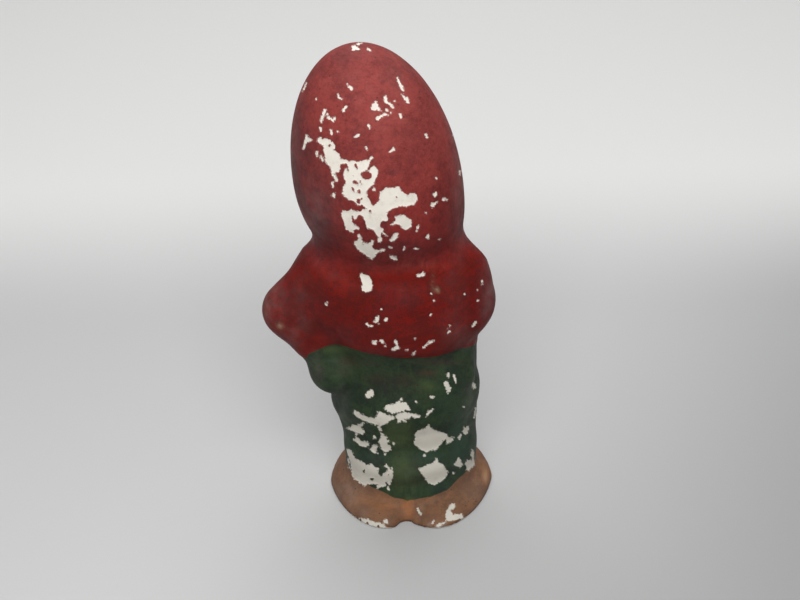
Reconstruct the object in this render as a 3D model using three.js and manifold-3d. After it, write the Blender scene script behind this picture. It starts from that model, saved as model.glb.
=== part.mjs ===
// A christmas gnome figurine, cast in one piece in white plaster and painted by hand.
//
// Millimetres, +Z up. The gnome faces -Y and its left hand is on the +X side. The origin lies between the
// soles, on the surface that it stands on. The figure leans a little to its left, holds the left hand in the
// trouser pocket and rests the right hand on its belly.
//
// The soft mass of the figure is a field of blended forms. A capsule-shaped jar around the figure is drawn in
// onto that field, one vertex at a time, and makes the skin. Small crisp pieces are then joined to the skin,
// and the soles are cut flat.

import * as THREE from 'three';
import { mergeVertices } from 'three/addons/utils/BufferGeometryUtils.js';
import Module from 'manifold-3d';

const { clamp, degToRad, lerp, smoothstep } = THREE.MathUtils;

// Driving dimensions

const height = 118.4;
const hoodWidth = 38.5;
const hoodDepth = 36;
const hoodWidestHeight = 86;
const bodyHalfWidth = 17.2;
const bodyHalfDepth = 15.2;
const legHalfDepth = 13.6;
const kneeHeight = 34;
const legHalfWidth = 16.9;
const elbowRadius = 5.7;
const shoeLength = 38;
const shoeWidth = 28;
const shoeHeight = 7;

// How the hood leans: sideways towards +X with height, and in towards the neck below its widest section.
const hoodLean = 0.1;
const neckPullX = 0.004;
const neckPullY = 0.012;
const hoodLowRadius = 29;

// Baggy trouser legs: soft rolls, fuller at the front and back than at the sides.
const rollPitch = 10.4;
const lowestRoll = 13.4;
const rollAtSides = 0.15;
const rollAtBack = 0.45;
const waistBottom = 27;
const hemTilt = 0.17; // the jacket hangs lower at the front than at the back

// Shoes: lower and narrower towards the heels, which meet a little to the left of the middle.
const heelSlope = 0.03;
const heelNarrowing = 0.009;
const heelMiddle = 2;

// Beard: narrower below its waist, with upright waves for its locks.
const beardWaist = 67;
const beardNarrowing = 0.022;
const lockHeight = 0.7;
const locksPerMillimetre = 1.15;
const lockSway = { turn: 0.8, length: 4 };

// Face opening with a rolled edge
const faceX = 5;
const openingHeight = 85.5;
const rimRadii = [10, 12.6];
const rimRoll = 1.3;

// How widely neighbouring forms melt into each other
const soft = { crisp: 1.2, fold: 1.6, cheek: 2, rim: 1.8, joint: 3, arm: 5, neck: 5, shoulder: 8 };

// Joints of the arms
const leftElbow = [27.1, 3, 55];
const rightElbow = [-14.3, 2, 54.9];

// The jar that is drawn in onto the forms
const jar = { radius: 48, bottom: -2, top: 98, capRows: 7, bodyRows: 60, columns: 58 };
const frontCrowding = 0.48; // how much closer the columns stand on the face side
const marching = { steps: 200, share: 0.6, smallest: 0.02 };

// Forms. Each is a function of a point: below zero inside, and about the distance to the surface outside.

function ovalDistance(scaled, radii) {
  const reach = Math.hypot(...scaled);
  const slope = Math.hypot(...scaled.map((value, i) => value / radii[i]));
  return (reach * (reach - 1)) / Math.max(slope, Number.EPSILON);
}

function ellipsoid([cx, cy, cz], radii) {
  return (x, y, z) => ovalDistance([(x - cx) / radii[0], (y - cy) / radii[1], (z - cz) / radii[2]], radii);
}

function limb(start, end, startRadius, endRadius) {
  const from = new THREE.Vector3(...start);
  const along = new THREE.Vector3(...end).sub(from);
  const offset = new THREE.Vector3();
  return (x, y, z) => {
    offset.set(x, y, z).sub(from);
    const share = clamp(offset.dot(along) / along.lengthSq(), 0, 1);
    return offset.addScaledVector(along, -share).length() - lerp(startRadius, endRadius, share);
  };
}

// An upright pillar of oval section with a rounded top.
function pillar([cx, cy, top], radii, rounding) {
  return (x, y, z) => {
    const side = ovalDistance([(x - cx) / radii[0], (y - cy) / radii[1]], radii) + rounding;
    const above = z - top + rounding;
    return Math.hypot(Math.max(side, 0), Math.max(above, 0)) + Math.min(Math.max(side, above), 0) - rounding;
  };
}

function blend(a, b, width) {
  const near = Math.max(width - Math.abs(a - b), 0);
  return Math.min(a, b) - (near * near) / (4 * width);
}

function carve(a, b, width) {
  return -blend(-a, b, width);
}

function mirrored(makeForm) {
  return [-1, 1].map(makeForm);
}

// The named masses, as centre and radii, or as the two ends of a limb and their radii

const hoodCentre = [5.15, 0, hoodWidestHeight];
const hoodTop = ellipsoid(hoodCentre, [hoodWidth / 2, hoodDepth / 2, height - hoodWidestHeight]);
const hoodLow = ellipsoid(hoodCentre, [hoodWidth / 2, hoodDepth / 2, hoodLowRadius]);
const faceOpening = ellipsoid([faceX, -23, openingHeight], [13.6, 10, 15.5]);
const face = ellipsoid([faceX, -5.2, 84], [12.6, 10.8, 15.5]);
const cheeks = mirrored((side) => ellipsoid([faceX + side * 5.4, -13.4, 81.4], [3.6, 3.2, 3.4]));
const beard = ellipsoid([faceX, -9.8, beardWaist + 0.5], [11.6, 10.6, 19.5]);

const chest = ellipsoid([1.4, 0, 54], [bodyHalfWidth, bodyHalfDepth, 18]);
const shoulders = limb([-9.8, 0.5, 58.8], [14, 0.5, 60.2], 10, 10);
const skirt = ellipsoid([0.3, 0.2, 49.5], [bodyHalfWidth + 0.8, bodyHalfDepth + 0.9, 8]);
const upperArms = [
  limb([17.8, 1, 62.5], leftElbow, 8.9, elbowRadius),
  limb([-11.3, 0.5, 59.6], rightElbow, 8.6, elbowRadius + 0.4),
];
const leftForearm = limb(leftElbow, [18.6, 2.5, 42.3], elbowRadius, 5.9);
const rightForearm = limb(rightElbow, [-9.5, -11.5, 48.5], elbowRadius, 5);

const waist = pillar([0.2, 0, 52], [bodyHalfWidth + 0.2, legHalfDepth + 0.3], 3);
const seat = ellipsoid([0.2, 3.2, 31.5], [bodyHalfWidth, legHalfDepth - 0.6, 9.5]);
const backPocket = ellipsoid([-7, 8, 38.4], [9, 6, 5.6]);
const pocketFist = ellipsoid([17.1, 3.9, 38.9], [6.9, 7.6, 6.2]);
const pocketBag = limb([12.7, 2, 29], [8.4, 1, 15], 6, 5.4);
const legs = pillar([-0.2, 0, kneeHeight], [legHalfWidth, legHalfDepth], 3);

const shoes = mirrored((side) =>
  ellipsoid([side * 7.05 - 0.15, 0.3 - side * 0.3, 0.6], [shoeWidth / 2, shoeLength / 2, shoeHeight]),
);
const toes = mirrored((side) => ellipsoid([side * 7.8, -12, 2], [7.2, 9, 6]));
const heelNotch = limb([1.7, 19.2, -2], [1.5, 15.2, 12], 2.1, 1.4);
const toeNotch = limb([0, -24, -2], [0, -17, 12], 5, 2);

// Rolled edge around the face, on the front of the hood only.
function hoodRim(x, y, z, hoodDistance) {
  if (y > 0) return jar.radius;
  const reach = Math.hypot((x - faceX) / rimRadii[0], (z - openingHeight) / rimRadii[1]);
  return Math.hypot((reach - 1) * rimRadii[0], hoodDistance) - rimRoll;
}

function hood(x, y, z) {
  const rise = z - hoodWidestHeight;
  const drop = Math.min(rise, 0) ** 2;
  const egg = rise > 0 ? hoodTop : hoodLow;
  const shell = egg(x - hoodLean * rise + neckPullX * drop, y + neckPullY * drop, z);
  return blend(carve(shell, faceOpening(x, y, z), 2.5), hoodRim(x, y, z, shell), soft.rim);
}

function lockedBeard(x, y, z) {
  const fan = (x - faceX) * (1 + beardNarrowing * Math.max(beardWaist - z, 0));
  const sway = lockSway.turn * Math.sin(z / lockSway.length);
  return beard(faceX + fan, y, z) - lockHeight * Math.cos(locksPerMillimetre * fan + sway);
}

function head(x, y, z) {
  const features = cheeks.reduce((all, cheek) => blend(all, cheek(x, y, z), soft.cheek), face(x, y, z));
  return blend(features, hood(x, y, z), soft.crisp);
}

function jacket(x, y, z) {
  let form = blend(chest(x, y, z), shoulders(x, y, z), soft.shoulder);
  form = blend(form, skirt(x, y, z - hemTilt * y), soft.joint);
  for (const arm of [...upperArms, leftForearm]) form = blend(form, arm(x, y, z), soft.arm);
  return blend(form, rightForearm(x, y, z), soft.joint);
}

function trousers(x, y, z) {
  const fullness = lerp(rollAtSides, rollAtBack, smoothstep(Math.abs(y), 2, legHalfDepth));
  const fade = 1 - smoothstep(z, kneeHeight - 6, kneeHeight);
  const rolls = fullness * fade * Math.cos((2 * Math.PI * (z - lowestRoll)) / rollPitch);
  let form = legs(x, y, z) - rolls;
  form = blend(form, carve(waist(x, y, z), z - waistBottom, soft.joint), soft.joint);
  form = blend(form, seat(x, y, z), soft.joint);
  form = blend(form, backPocket(x, y, z), soft.joint);
  form = blend(form, pocketBag(x, y, z), soft.joint);
  return blend(form, pocketFist(x, y, z), soft.fold);
}

function feet(x, y, z) {
  const heel = Math.max(y, 0);
  const across = heelMiddle + (x - heelMiddle) * (1 + heelNarrowing * heel);
  const sloped = z * (1 + heelSlope * heel);
  let form = blend(shoes[0](across, y, sloped), shoes[1](across, y, sloped), soft.joint);
  for (const toe of toes) form = blend(form, toe(x, y, z), soft.joint);
  form = carve(form, heelNotch(x, y, z), soft.fold);
  return carve(form, toeNotch(x, y, z), soft.cheek);
}

function figure(x, y, z) {
  const upper = blend(blend(jacket(x, y, z), head(x, y, z), soft.neck), lockedBeard(x, y, z), soft.crisp);
  return blend(blend(upper, trousers(x, y, z), soft.fold), feet(x, y, z), soft.fold);
}

// Skin: each vertex of the jar slides towards a leaning line inside the figure until it meets the surface.

function leaningAxis(z) {
  return 0.5 + 0.065 * z;
}

// Half width of the line that the vertices of one row slide towards: wide at the arms, a point above the face.
function axisSpread(z) {
  const body = 7;
  const arms = 11 * Math.exp(-(((z - 49) / 13) ** 2));
  return (body + arms) * (1 - smoothstep(z, 74, jar.top));
}

function drawIn(vertex, target) {
  const way = target.clone().sub(vertex);
  const length = way.length();
  way.normalize();
  let travelled = 0;
  for (let step = 0; step < marching.steps && travelled < length; step++) {
    const distance = figure(...vertex.clone().addScaledVector(way, travelled));
    if (distance < marching.smallest) break;
    travelled += Math.max(marching.share * distance, marching.smallest);
  }
  return vertex.addScaledVector(way, Math.min(travelled, length));
}

function makeSkin() {
  const skin = new THREE.CapsuleGeometry(
    jar.radius,
    jar.top - jar.bottom,
    jar.capRows,
    jar.columns,
    jar.bodyRows,
  );
  skin.rotateX(Math.PI / 2);
  skin.translate(0, 0, (jar.top + jar.bottom) / 2);
  const position = skin.getAttribute('position');
  const vertex = new THREE.Vector3();
  for (let i = 0; i < position.count; i++) {
    vertex.fromBufferAttribute(position, i);
    const fromFront = Math.atan2(vertex.x, -vertex.y);
    const angle = fromFront - frontCrowding * Math.sin(fromFront);
    const reach = Math.hypot(vertex.x, vertex.y);
    const level = clamp(vertex.z, jar.bottom, jar.top);
    const centre = leaningAxis(level);
    vertex.set(centre + reach * Math.sin(angle), -reach * Math.cos(angle), vertex.z);
    drawIn(vertex, new THREE.Vector3(centre + axisSpread(level) * Math.sin(angle), 0, level));
    position.setXYZ(i, ...vertex);
  }
  return skin;
}

// Crisp pieces that are joined to the skin. Turns are in degrees about X, Y and Z.

function placed(geometry, place, turns = [0, 0, 0]) {
  const rotation = new THREE.Euler(...turns.map((turn) => degToRad(turn)));
  return geometry.applyMatrix4(new THREE.Matrix4().makeRotationFromEuler(rotation).setPosition(...place));
}

// The geometry's own +Y axis is turned to point along the given direction.
function aimed(geometry, place, direction) {
  const up = new THREE.Vector3(0, 1, 0);
  const turn = new THREE.Quaternion().setFromUnitVectors(up, new THREE.Vector3(...direction).normalize());
  return geometry.applyMatrix4(new THREE.Matrix4().makeRotationFromQuaternion(turn).setPosition(...place));
}

function ball(radii, place, turns, around = 12, rings = 9) {
  return placed(new THREE.SphereGeometry(1, around, rings).scale(...radii), place, turns);
}

function makeNose() {
  return ball([3.1, 3.2, 2.9], [faceX, -16.8, 82.2]);
}

function makeMoustacheTuft(side) {
  return ball([6, 2.6, 2.7], [faceX + side * 4.9, -18.2, 77], [0, side * 26, side * 20]);
}

function makeBrow(side) {
  return ball([3.3, 1.6, 1.4], [faceX + side * 4.4, -14.9, 89.4], [0, side * 7, side * 20], 10, 7);
}

function makeEye(side) {
  return ball([1.7, 1.3, 1.3], [faceX + side * 3.9, -14.8, 85.8], [0, 0, 0], 10, 7);
}

function makeHand() {
  return ball([5.4, 3.4, 4.1], [-6.6, -15, 47.6], [0, 12, -24], 14, 10);
}

function makeThumb() {
  return aimed(new THREE.CapsuleGeometry(1.5, 3.4, 3, 8), [-5.6, -15.6, 51], [1, -0.3, 0.25]);
}

function makeCuff() {
  const ring = new THREE.TorusGeometry(4.2, 1.5, 7, 16).rotateX(Math.PI / 2);
  return aimed(ring, [-10.2, -11, 48.6], [4.5, -8, -2]);
}

function makeButton() {
  return placed(new THREE.CylinderGeometry(1.9, 1.5, 2.4, 14), [2.6, -15, 45.4]);
}

const crispPieces = [
  makeNose(),
  ...mirrored(makeMoustacheTuft),
  ...mirrored(makeBrow),
  ...mirrored(makeEye),
  makeHand(),
  makeThumb(),
  makeCuff(),
  makeButton(),
];

// Joining and cutting

const wasm = await Module();
wasm.setup();

function toSolid(geometry) {
  const bare = geometry.clone();
  bare.deleteAttribute('normal');
  bare.deleteAttribute('uv');
  const merged = mergeVertices(bare, 1e-3);
  return new wasm.Manifold(
    new wasm.Mesh({
      numProp: 3,
      vertProperties: merged.getAttribute('position').array,
      triVerts: new Uint32Array(merged.index.array),
    }),
  );
}

function toGeometry(solid) {
  const mesh = solid.getMesh();
  const geometry = new THREE.BufferGeometry();
  geometry.setAttribute('position', new THREE.BufferAttribute(mesh.vertProperties, 3));
  geometry.setIndex(new THREE.BufferAttribute(mesh.triVerts, 1));
  geometry.computeVertexNormals();
  return geometry;
}

function makeGround() {
  const size = 4 * height;
  return new THREE.BoxGeometry(size, size, size).translate(0, 0, -size / 2);
}

const casting = crispPieces.reduce((all, piece) => all.add(toSolid(piece)), toSolid(makeSkin()));
const standing = casting.subtract(toSolid(makeGround()));

const figurine = new THREE.Mesh(
  toGeometry(standing),
  new THREE.MeshStandardMaterial({ color: 0x7a2420, roughness: 0.62, metalness: 0 }),
);
figurine.name = 'figurine';

const gnome = new THREE.Group();
gnome.name = 'christmas_gnome';
gnome.add(figurine);

export default gnome;
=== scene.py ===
import math

import bmesh
import bpy
import numpy as np
import openvdb
from bpy.props import FloatProperty, FloatVectorProperty, IntProperty, PointerProperty
from mathutils import Matrix, Vector
from mathutils.bvhtree import BVHTree


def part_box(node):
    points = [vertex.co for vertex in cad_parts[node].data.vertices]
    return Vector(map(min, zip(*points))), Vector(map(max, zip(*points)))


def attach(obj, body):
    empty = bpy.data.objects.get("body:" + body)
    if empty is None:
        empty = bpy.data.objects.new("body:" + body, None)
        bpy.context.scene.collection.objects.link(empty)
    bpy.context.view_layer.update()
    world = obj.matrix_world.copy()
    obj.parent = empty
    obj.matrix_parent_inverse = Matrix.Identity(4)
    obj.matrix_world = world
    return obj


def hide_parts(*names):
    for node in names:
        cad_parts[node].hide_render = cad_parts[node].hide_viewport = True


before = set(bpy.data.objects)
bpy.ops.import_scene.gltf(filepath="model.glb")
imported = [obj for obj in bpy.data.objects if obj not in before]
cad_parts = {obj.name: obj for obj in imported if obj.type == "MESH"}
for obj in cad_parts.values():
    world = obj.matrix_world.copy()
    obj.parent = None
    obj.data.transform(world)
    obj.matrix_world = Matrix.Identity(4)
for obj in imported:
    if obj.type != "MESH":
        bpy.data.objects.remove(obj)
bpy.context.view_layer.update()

bl_info = {
    "name": "Painted plaster gnome",
    "version": (1, 0, 0),
    "blender": (4, 5, 0),
    "location": "3D View > Sidebar > Gnome",
    "description": "Casts, paints and wears a small plaster gnome, and sets it on a pale sweep",
    "category": "Add Mesh",
}

# The figure is worked out in millimetres, +Z up. The gnome faces -Y and its left hand is on the +X side.

MM = 0.001
DRAWN_HEIGHT = 118.4
CAST_HEIGHT = 118.37
node_low, node_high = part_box("figurine")
UNIT = (node_high.z - node_low.z) / CAST_HEIGHT

# Forms. Each is a function of points: below zero inside, and about the distance to the surface outside.


def blend(a, b, width):
    near = np.maximum(width - np.abs(a - b), 0)
    return np.minimum(a, b) - near * near / (4 * width)


def carve(a, b, width):
    return -blend(-a, b, width)


def smooth(value, start, end):
    share = np.clip((value - start) / (end - start), 0, 1)
    return share * share * (3 - 2 * share)


def hump(value, centre, half_width):
    return np.exp(-(((value - centre) / half_width) ** 2))


def oval_distance(scaled, radii):
    reach = np.sqrt(sum(s * s for s in scaled))
    slope = np.sqrt(sum((s / r) ** 2 for s, r in zip(scaled, radii)))
    return reach * (reach - 1) / np.maximum(slope, 1e-6)


def local(p, centre, turns=(0, 0, 0)):
    """Points in the own directions of a piece that is turned about X, Y and Z, in degrees."""
    turn = Matrix.Identity(3)
    for axis, angle in zip("XYZ", turns):
        turn = turn @ Matrix.Rotation(math.radians(angle), 3, axis)
    offset = [v - c for v, c in zip(p, centre)]
    return [sum(offset[i] * turn[i][j] for i in range(3)) for j in range(3)]


def oval(p, centre, radii, turns=(0, 0, 0)):
    return oval_distance([v / r for v, r in zip(local(p, centre, turns), radii)], radii)


def limb(p, start, end, start_radius, end_radius):
    along = np.subtract(end, start).astype(np.float32)
    offset = [v - s for v, s in zip(p, start)]
    share = np.clip(sum(o * a for o, a in zip(offset, along)) / float(along @ along), 0, 1)
    rest = np.sqrt(sum((o - share * a) ** 2 for o, a in zip(offset, along)))
    return rest - (start_radius + (end_radius - start_radius) * share)


def pillar(p, centre, radii, rounding):
    x, y, z = p
    side = oval_distance([(x - centre[0]) / radii[0], (y - centre[1]) / radii[1]], radii) + rounding
    above = z - centre[2] + rounding
    outside = np.sqrt(np.maximum(side, 0) ** 2 + np.maximum(above, 0) ** 2)
    return outside + np.minimum(np.maximum(side, above), 0) - rounding


def ring(p, centre, direction, radius, thickness):
    axis = Vector(direction).normalized()
    offset = [v - c for v, c in zip(p, centre)]
    height = sum(o * a for o, a in zip(offset, axis))
    reach = np.sqrt(np.maximum(sum(o * o for o in offset) - height**2, 0))
    return np.sqrt((reach - radius) ** 2 + height**2) - thickness


# The masses of the figure

FACE_X = 5
EYE_SPREAD = 3.9
EYE_HEIGHT = 85.8
SIDES = (-1, 1)
OUTSIDE = 48  # far outside every form
BODY = (17.2, 15.2)
LEG_DEPTH = 13.6
LEFT_ELBOW = (27.1, 3, 55)
RIGHT_ELBOW = (-14.3, 2, 54.9)
HOOD_CENTRE = (5.15, 0, 86)
BUTTON = (2.6, 45.4)

# Lower edges of the jacket and the trousers: heights in millimetres at angles in degrees, which go round the
# figure from its back towards its left.

HEM_ANGLES = (-180, -120, -90, -52, -28, -10, 6, 18, 39, 52, 61, 64, 67, 70, 73, 90, 120, 180)
HEM_HEIGHTS = (40, 40.8, 42.5, 46.8, 47, 47.8, 48, 48.6, 49, 49, 48.5, 48.1, 47, 45.7, 43.5, 42.5, 41, 40)
ANKLE_ANGLES = (-180, -150, -110, -70, -53, -37, -26, -5, 7, 19, 31, 50, 64, 110, 150, 180)
ANKLE_HEIGHTS = (8.8, 9.2, 8.8, 8.2, 7.6, 5.9, 5.4, 4.9, 5, 5.1, 6.2, 7.1, 7.6, 8.8, 9.2, 8.8)


def hood(p):
    x, y, z = p
    rise = z - HOOD_CENTRE[2]
    drop = np.minimum(rise, 0) ** 2
    q = (x - 0.1 * rise + 0.004 * drop, y + 0.012 * drop, z)
    top = oval(q, HOOD_CENTRE, (19.25, 18, DRAWN_HEIGHT - HOOD_CENTRE[2]))
    low = oval(q, HOOD_CENTRE, (19.25, 18, 29))
    shell = np.where(rise > 0, top, low)
    opening = oval(p, (FACE_X, -23, 85.5), (13.6, 10, 15.5))
    reach = np.sqrt(((x - FACE_X) / 10) ** 2 + ((z - 85.5) / 12.6) ** 2)
    rim = np.sqrt(((reach - 1) * 10) ** 2 + shell**2) - 1.3
    return blend(carve(shell, opening, 2.5), np.where(y > 0, OUTSIDE, rim), 1.8)


def fanned(x, z):
    """How far across the beard a place is. The beard narrows below its middle, and its strands with it."""
    return (x - FACE_X) * (1 + 0.022 * np.maximum(67 - z, 0))


def beard(p):
    x, y, z = p
    fan = fanned(x, z)
    form = oval((FACE_X + fan, y, z), (FACE_X, -9.8, 67.5), (11.6, 10.6, 19.5))
    locks = 0.7 * np.cos(1.15 * fan + 0.8 * np.sin(z / 4))
    strands = 0.2 * np.cos(3.3 * fan + 1.9 * np.sin(z / 3.1 + 0.4 * fan))
    hairs = 0.1 * np.cos(6.1 * fan + 2.6 * np.sin(z / 2.3))
    return form - locks - (strands + hairs)


def moustache(p):
    form = OUTSIDE
    for side in SIDES:
        centre, turns = (FACE_X + side * 4.9, -18.2, 77), (0, side * 26, side * 20)
        along, _, across = local(p, centre, turns)
        strands = 0.17 * np.cos(3.6 * across + 0.9 * np.sin(side * along * 0.7))
        form = np.minimum(form, oval(p, centre, (6, 2.6, 2.7), turns) - strands)
    return form


def brows(p):
    form = OUTSIDE
    for side in SIDES:
        centre, turns = (FACE_X + side * 4.4, -14.9, 89.4), (0, side * 7, side * 20)
        along, _, across = local(p, centre, turns)
        strands = 0.12 * np.cos(4.2 * (along + side * across * 0.8))
        form = np.minimum(form, oval(p, centre, (3.3, 1.6, 1.4), turns) - strands)
    return form


def eyes(p):
    balls = [oval(p, (FACE_X + s * EYE_SPREAD, -14.7, EYE_HEIGHT), (1.8, 1.35, 1.35)) for s in SIDES]
    return np.minimum(*balls)


def face(p):
    form = oval(p, (FACE_X, -5.2, 84), (12.6, 10.8, 15.5))
    for s in SIDES:
        form = blend(form, oval(p, (FACE_X + s * 5.4, -13.4, 81.4), (3.6, 3.2, 3.4)), 2)
        form = carve(form, oval(p, (FACE_X + s * EYE_SPREAD, -17.2, 86.3), (2.9, 2.1, 2.2)), 1)
    form = blend(form, limb(p, (FACE_X, -14.4, 89), (FACE_X, -17.2, 83), 1, 1.9), 1.6)
    form = blend(form, oval(p, (FACE_X, -16.8, 82.2), (3.1, 3.2, 2.9)), 0.8)
    for s in SIDES:
        form = blend(form, oval(p, (FACE_X + s * 2.5, -16.5, 81.3), (1.4, 1.7, 1.3)), 0.6)
        form = carve(form, oval(p, (FACE_X + s * 1.2, -18.2, 79.6), (0.6, 1.1, 0.7)), 0.4)
        for height, thickness in ((1.15, 0.5), (-1.2, 0.36)):
            centre = (FACE_X + s * EYE_SPREAD, -15.2, EYE_HEIGHT + height)
            form = blend(form, oval(p, centre, (2.1, 1.15, thickness)), 0.4)
    return blend(form, oval(p, (FACE_X, -18.1, 73.9), (2.2, 1.3, 0.9)), 0.7)


def hands(p):
    centre, turns = (-6.6, -15, 47.6), (0, 12, -24)
    along, _, across = local(p, centre, turns)
    fingers = 0.4 * smooth(along, -1.5, 1) * (np.abs(np.sin(across * math.pi / 2.05)) - 0.7)
    palm = oval(p, centre, (5.4, 3.4, 4.1), turns) - fingers
    thumb = limb(p, (-7.2, -15.1, 50.6), (-4, -16.1, 51.4), 1.5, 1.5)
    return blend(palm, thumb, 0.5)


def cuff(p):
    return ring(p, (-10.2, -11, 48.6), (4.5, -8, -2), 4.2, 1.5)


def button(p):
    x, y, z = p
    reach = np.sqrt((x - BUTTON[0]) ** 2 + (z - BUTTON[1]) ** 2)
    disc = np.maximum(reach - 1.8, np.abs(y + 15) - 1.25)
    return disc + 0.25 * hump(reach, 1.15, 0.3)


def hem_height(x, y):
    """Height of the jacket's lower edge."""
    return np.interp(np.degrees(np.arctan2(x - 0.5, y)), HEM_ANGLES, HEM_HEIGHTS).astype(np.float32)


def ankle_height(x, y):
    """Height of the trousers' lower edge."""
    return np.interp(np.degrees(np.arctan2(x, y)), ANKLE_ANGLES, ANKLE_HEIGHTS).astype(np.float32)


def jacket(p):
    x, y, z = p
    shoulders = limb(p, (-9.8, 0.5, 58.8), (14, 0.5, 60.2), 10, 10)
    form = blend(oval(p, (1.4, 0, 54), (*BODY, 18)), shoulders, 8)
    tilted = (x, y, z - 0.17 * y)
    form = blend(form, oval(tilted, (0.3, 0.2, 49.5), (BODY[0] + 0.8, BODY[1] + 0.9, 8)), 3)
    form = blend(form, limb(p, (17.8, 1, 62.5), LEFT_ELBOW, 8.9, 5.7), 5)
    form = blend(form, limb(p, (-11.3, 0.5, 59.6), RIGHT_ELBOW, 8.6, 6.1), 5)
    form = blend(form, limb(p, LEFT_ELBOW, (18.6, 2.5, 42.3), 5.7, 5.9), 5)
    form = blend(form, limb(p, RIGHT_ELBOW, (-9.5, -11.5, 48.5), 5.7, 5), 3)
    closing = 0.35 * hump(x, BUTTON[0] + 0.3 * np.sin(z / 3), 0.45) * smooth(-y, 8, 11)
    bends = 0.0
    for start, end, depth in (
        ((22.5, -3.5, 58), (20, -6.2, 51), 0.5),
        ((-12.5, -6.5, 58.5), (-15.8, -5.4, 52.3), 0.5),
        ((-8.5, -9, 56.8), (-13.2, -8.8, 53.4), 0.4),
        ((21.5, 8.4, 57.5), (19.6, 9.4, 51), 0.3),
    ):
        bends = bends + depth * np.exp(-((limb(p, start, end, 0, 0) / 1.1) ** 2))
    return form + closing + bends


def trousers(p):
    x, y, z = p
    fullness = 0.15 + 0.3 * smooth(np.abs(y), 2, LEG_DEPTH)
    fade = 1 - smooth(z, 28, 34)
    rolls = fullness * fade * np.cos(2 * math.pi * (z - 13.4) / 10.4 + 0.25 * np.sin(x / 5))
    form = pillar(p, (-0.2, 0, 34), (16.9, LEG_DEPTH), 3) - rolls
    waist = pillar(p, (0.2, 0, 52), (BODY[0] + 0.2, LEG_DEPTH + 0.3), 3)
    form = blend(form, carve(waist, z - 27, 3), 3)
    form = blend(form, oval(p, (0.5, 3.2, 31.5), (BODY[0] - 0.5, LEG_DEPTH - 0.6, 9.5)), 3)
    form = blend(form, oval(p, (-7, 8, 38.4), (9, 6, 5.6)), 3)
    form = blend(form, limb(p, (12.7, 2, 29), (8.4, 1, 15), 6, 5.4), 3)
    form = blend(form, oval(p, (17.1, 3.9, 38.9), (6.9, 7.6, 6.2)), 1.6)
    crease = 0.0
    for start, end, depth in (
        ((-1.2, 15.5, 42.8), (-6.6, 15.6, 46), 0.5),
        ((14.5, 11.6, 44), (20.5, 9, 40.8), 0.4),
        ((-2.4, 13, 30), (-2.2, 12.8, 8), 0.35),
    ):
        crease = crease + depth * np.exp(-((limb(p, start, end, 0, 0) / 1.0) ** 2))
    fly = 0.3 * hump(x, 0.2, 0.5) * smooth(-y, 9, 11) * smooth(z, 22, 26)
    return form + crease + fly


def feet(p):
    x, y, z = p
    heel = np.maximum(y, 0)
    drawn_in = (2 + (x - 2) * (1 + 0.009 * heel), y, z * (1 + 0.03 * heel))
    shoes = [oval(drawn_in, (s * 7.05 - 0.15, 0.3 - s * 0.3, 0.6), (14, 19, 7)) for s in SIDES]
    form = blend(*shoes, 3)
    for s in SIDES:
        form = blend(form, oval(p, (s * 7.8, -12, 2), (7.2, 9, 6)), 3)
    form = carve(form, limb(p, (1.7, 19.2, -2), (1.5, 15.2, 12), 2.1, 1.4), 1.6)
    form = carve(form, limb(p, (0, -24, -2), (0, -17, 12), 5, 2), 2)
    sole = 0.3 * hump(z, 2.1, 0.4) * smooth(-y, -6, 6)
    return form + sole


def seams(p):
    """Thin ridges that the mould left at the middle of the back: above zero where the cast stands proud."""
    x, y, z = p
    low = hump(x, 1.1, 0.55) * smooth(z, 2.5, 4) * (1 - smooth(z, 11, 13.5))
    heel = hump(x, -0.5, 0.6) * (1 - smooth(z, 4, 5.5))
    return smooth(y, 6, 10) * (0.6 * low + 0.3 * heel)


def figure(p):
    x, y, z = p
    head = blend(face(p), eyes(p), 0.25)
    head = blend(head, hood(p), 1.2)
    upper = blend(blend(jacket(p), head, 5), beard(p), 1.2)
    form = blend(blend(upper, trousers(p), 1.6), feet(p), 1.6)
    step = 0.22 * smooth(z - hem_height(x, y), -0.35, 0.35) * hump(z - hem_height(x, y), 1.5, 2.2)
    form = form - step - seams(p)
    for piece in (moustache, brows, hands, cuff, button):
        form = blend(form, piece(p), 0.5)
    return carve(form, z, 0.5)


# Making the mesh from the forms


def gradient(form, p, reach=0.05):
    slopes = []
    for axis in range(3):
        ahead = [v + reach * (i == axis) for i, v in enumerate(p)]
        behind = [v - reach * (i == axis) for i, v in enumerate(p)]
        slopes.append((form(ahead) - form(behind)) / (2 * reach))
    return slopes


def surface_normals(places):
    slopes = np.stack(gradient(figure, [places[:, i] for i in range(3)]), 1)
    return slopes / np.maximum(np.linalg.norm(slopes, axis=1, keepdims=True), 1e-6)


def settle(points, rounds=3):
    """Points moved along the slope of the figure until they lie on its surface."""
    p = [points[:, i].astype(np.float64) for i in range(3)]
    for _ in range(rounds):
        slopes = gradient(figure, p)
        steep = np.maximum(sum(s * s for s in slopes), 0.05)
        travel = np.clip(figure(p) / steep, -0.5, 0.5)
        p = [v - travel * s for v, s in zip(p, slopes)]
    p[2] = np.maximum(p[2], 0)
    return np.stack(p, 1)


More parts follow.
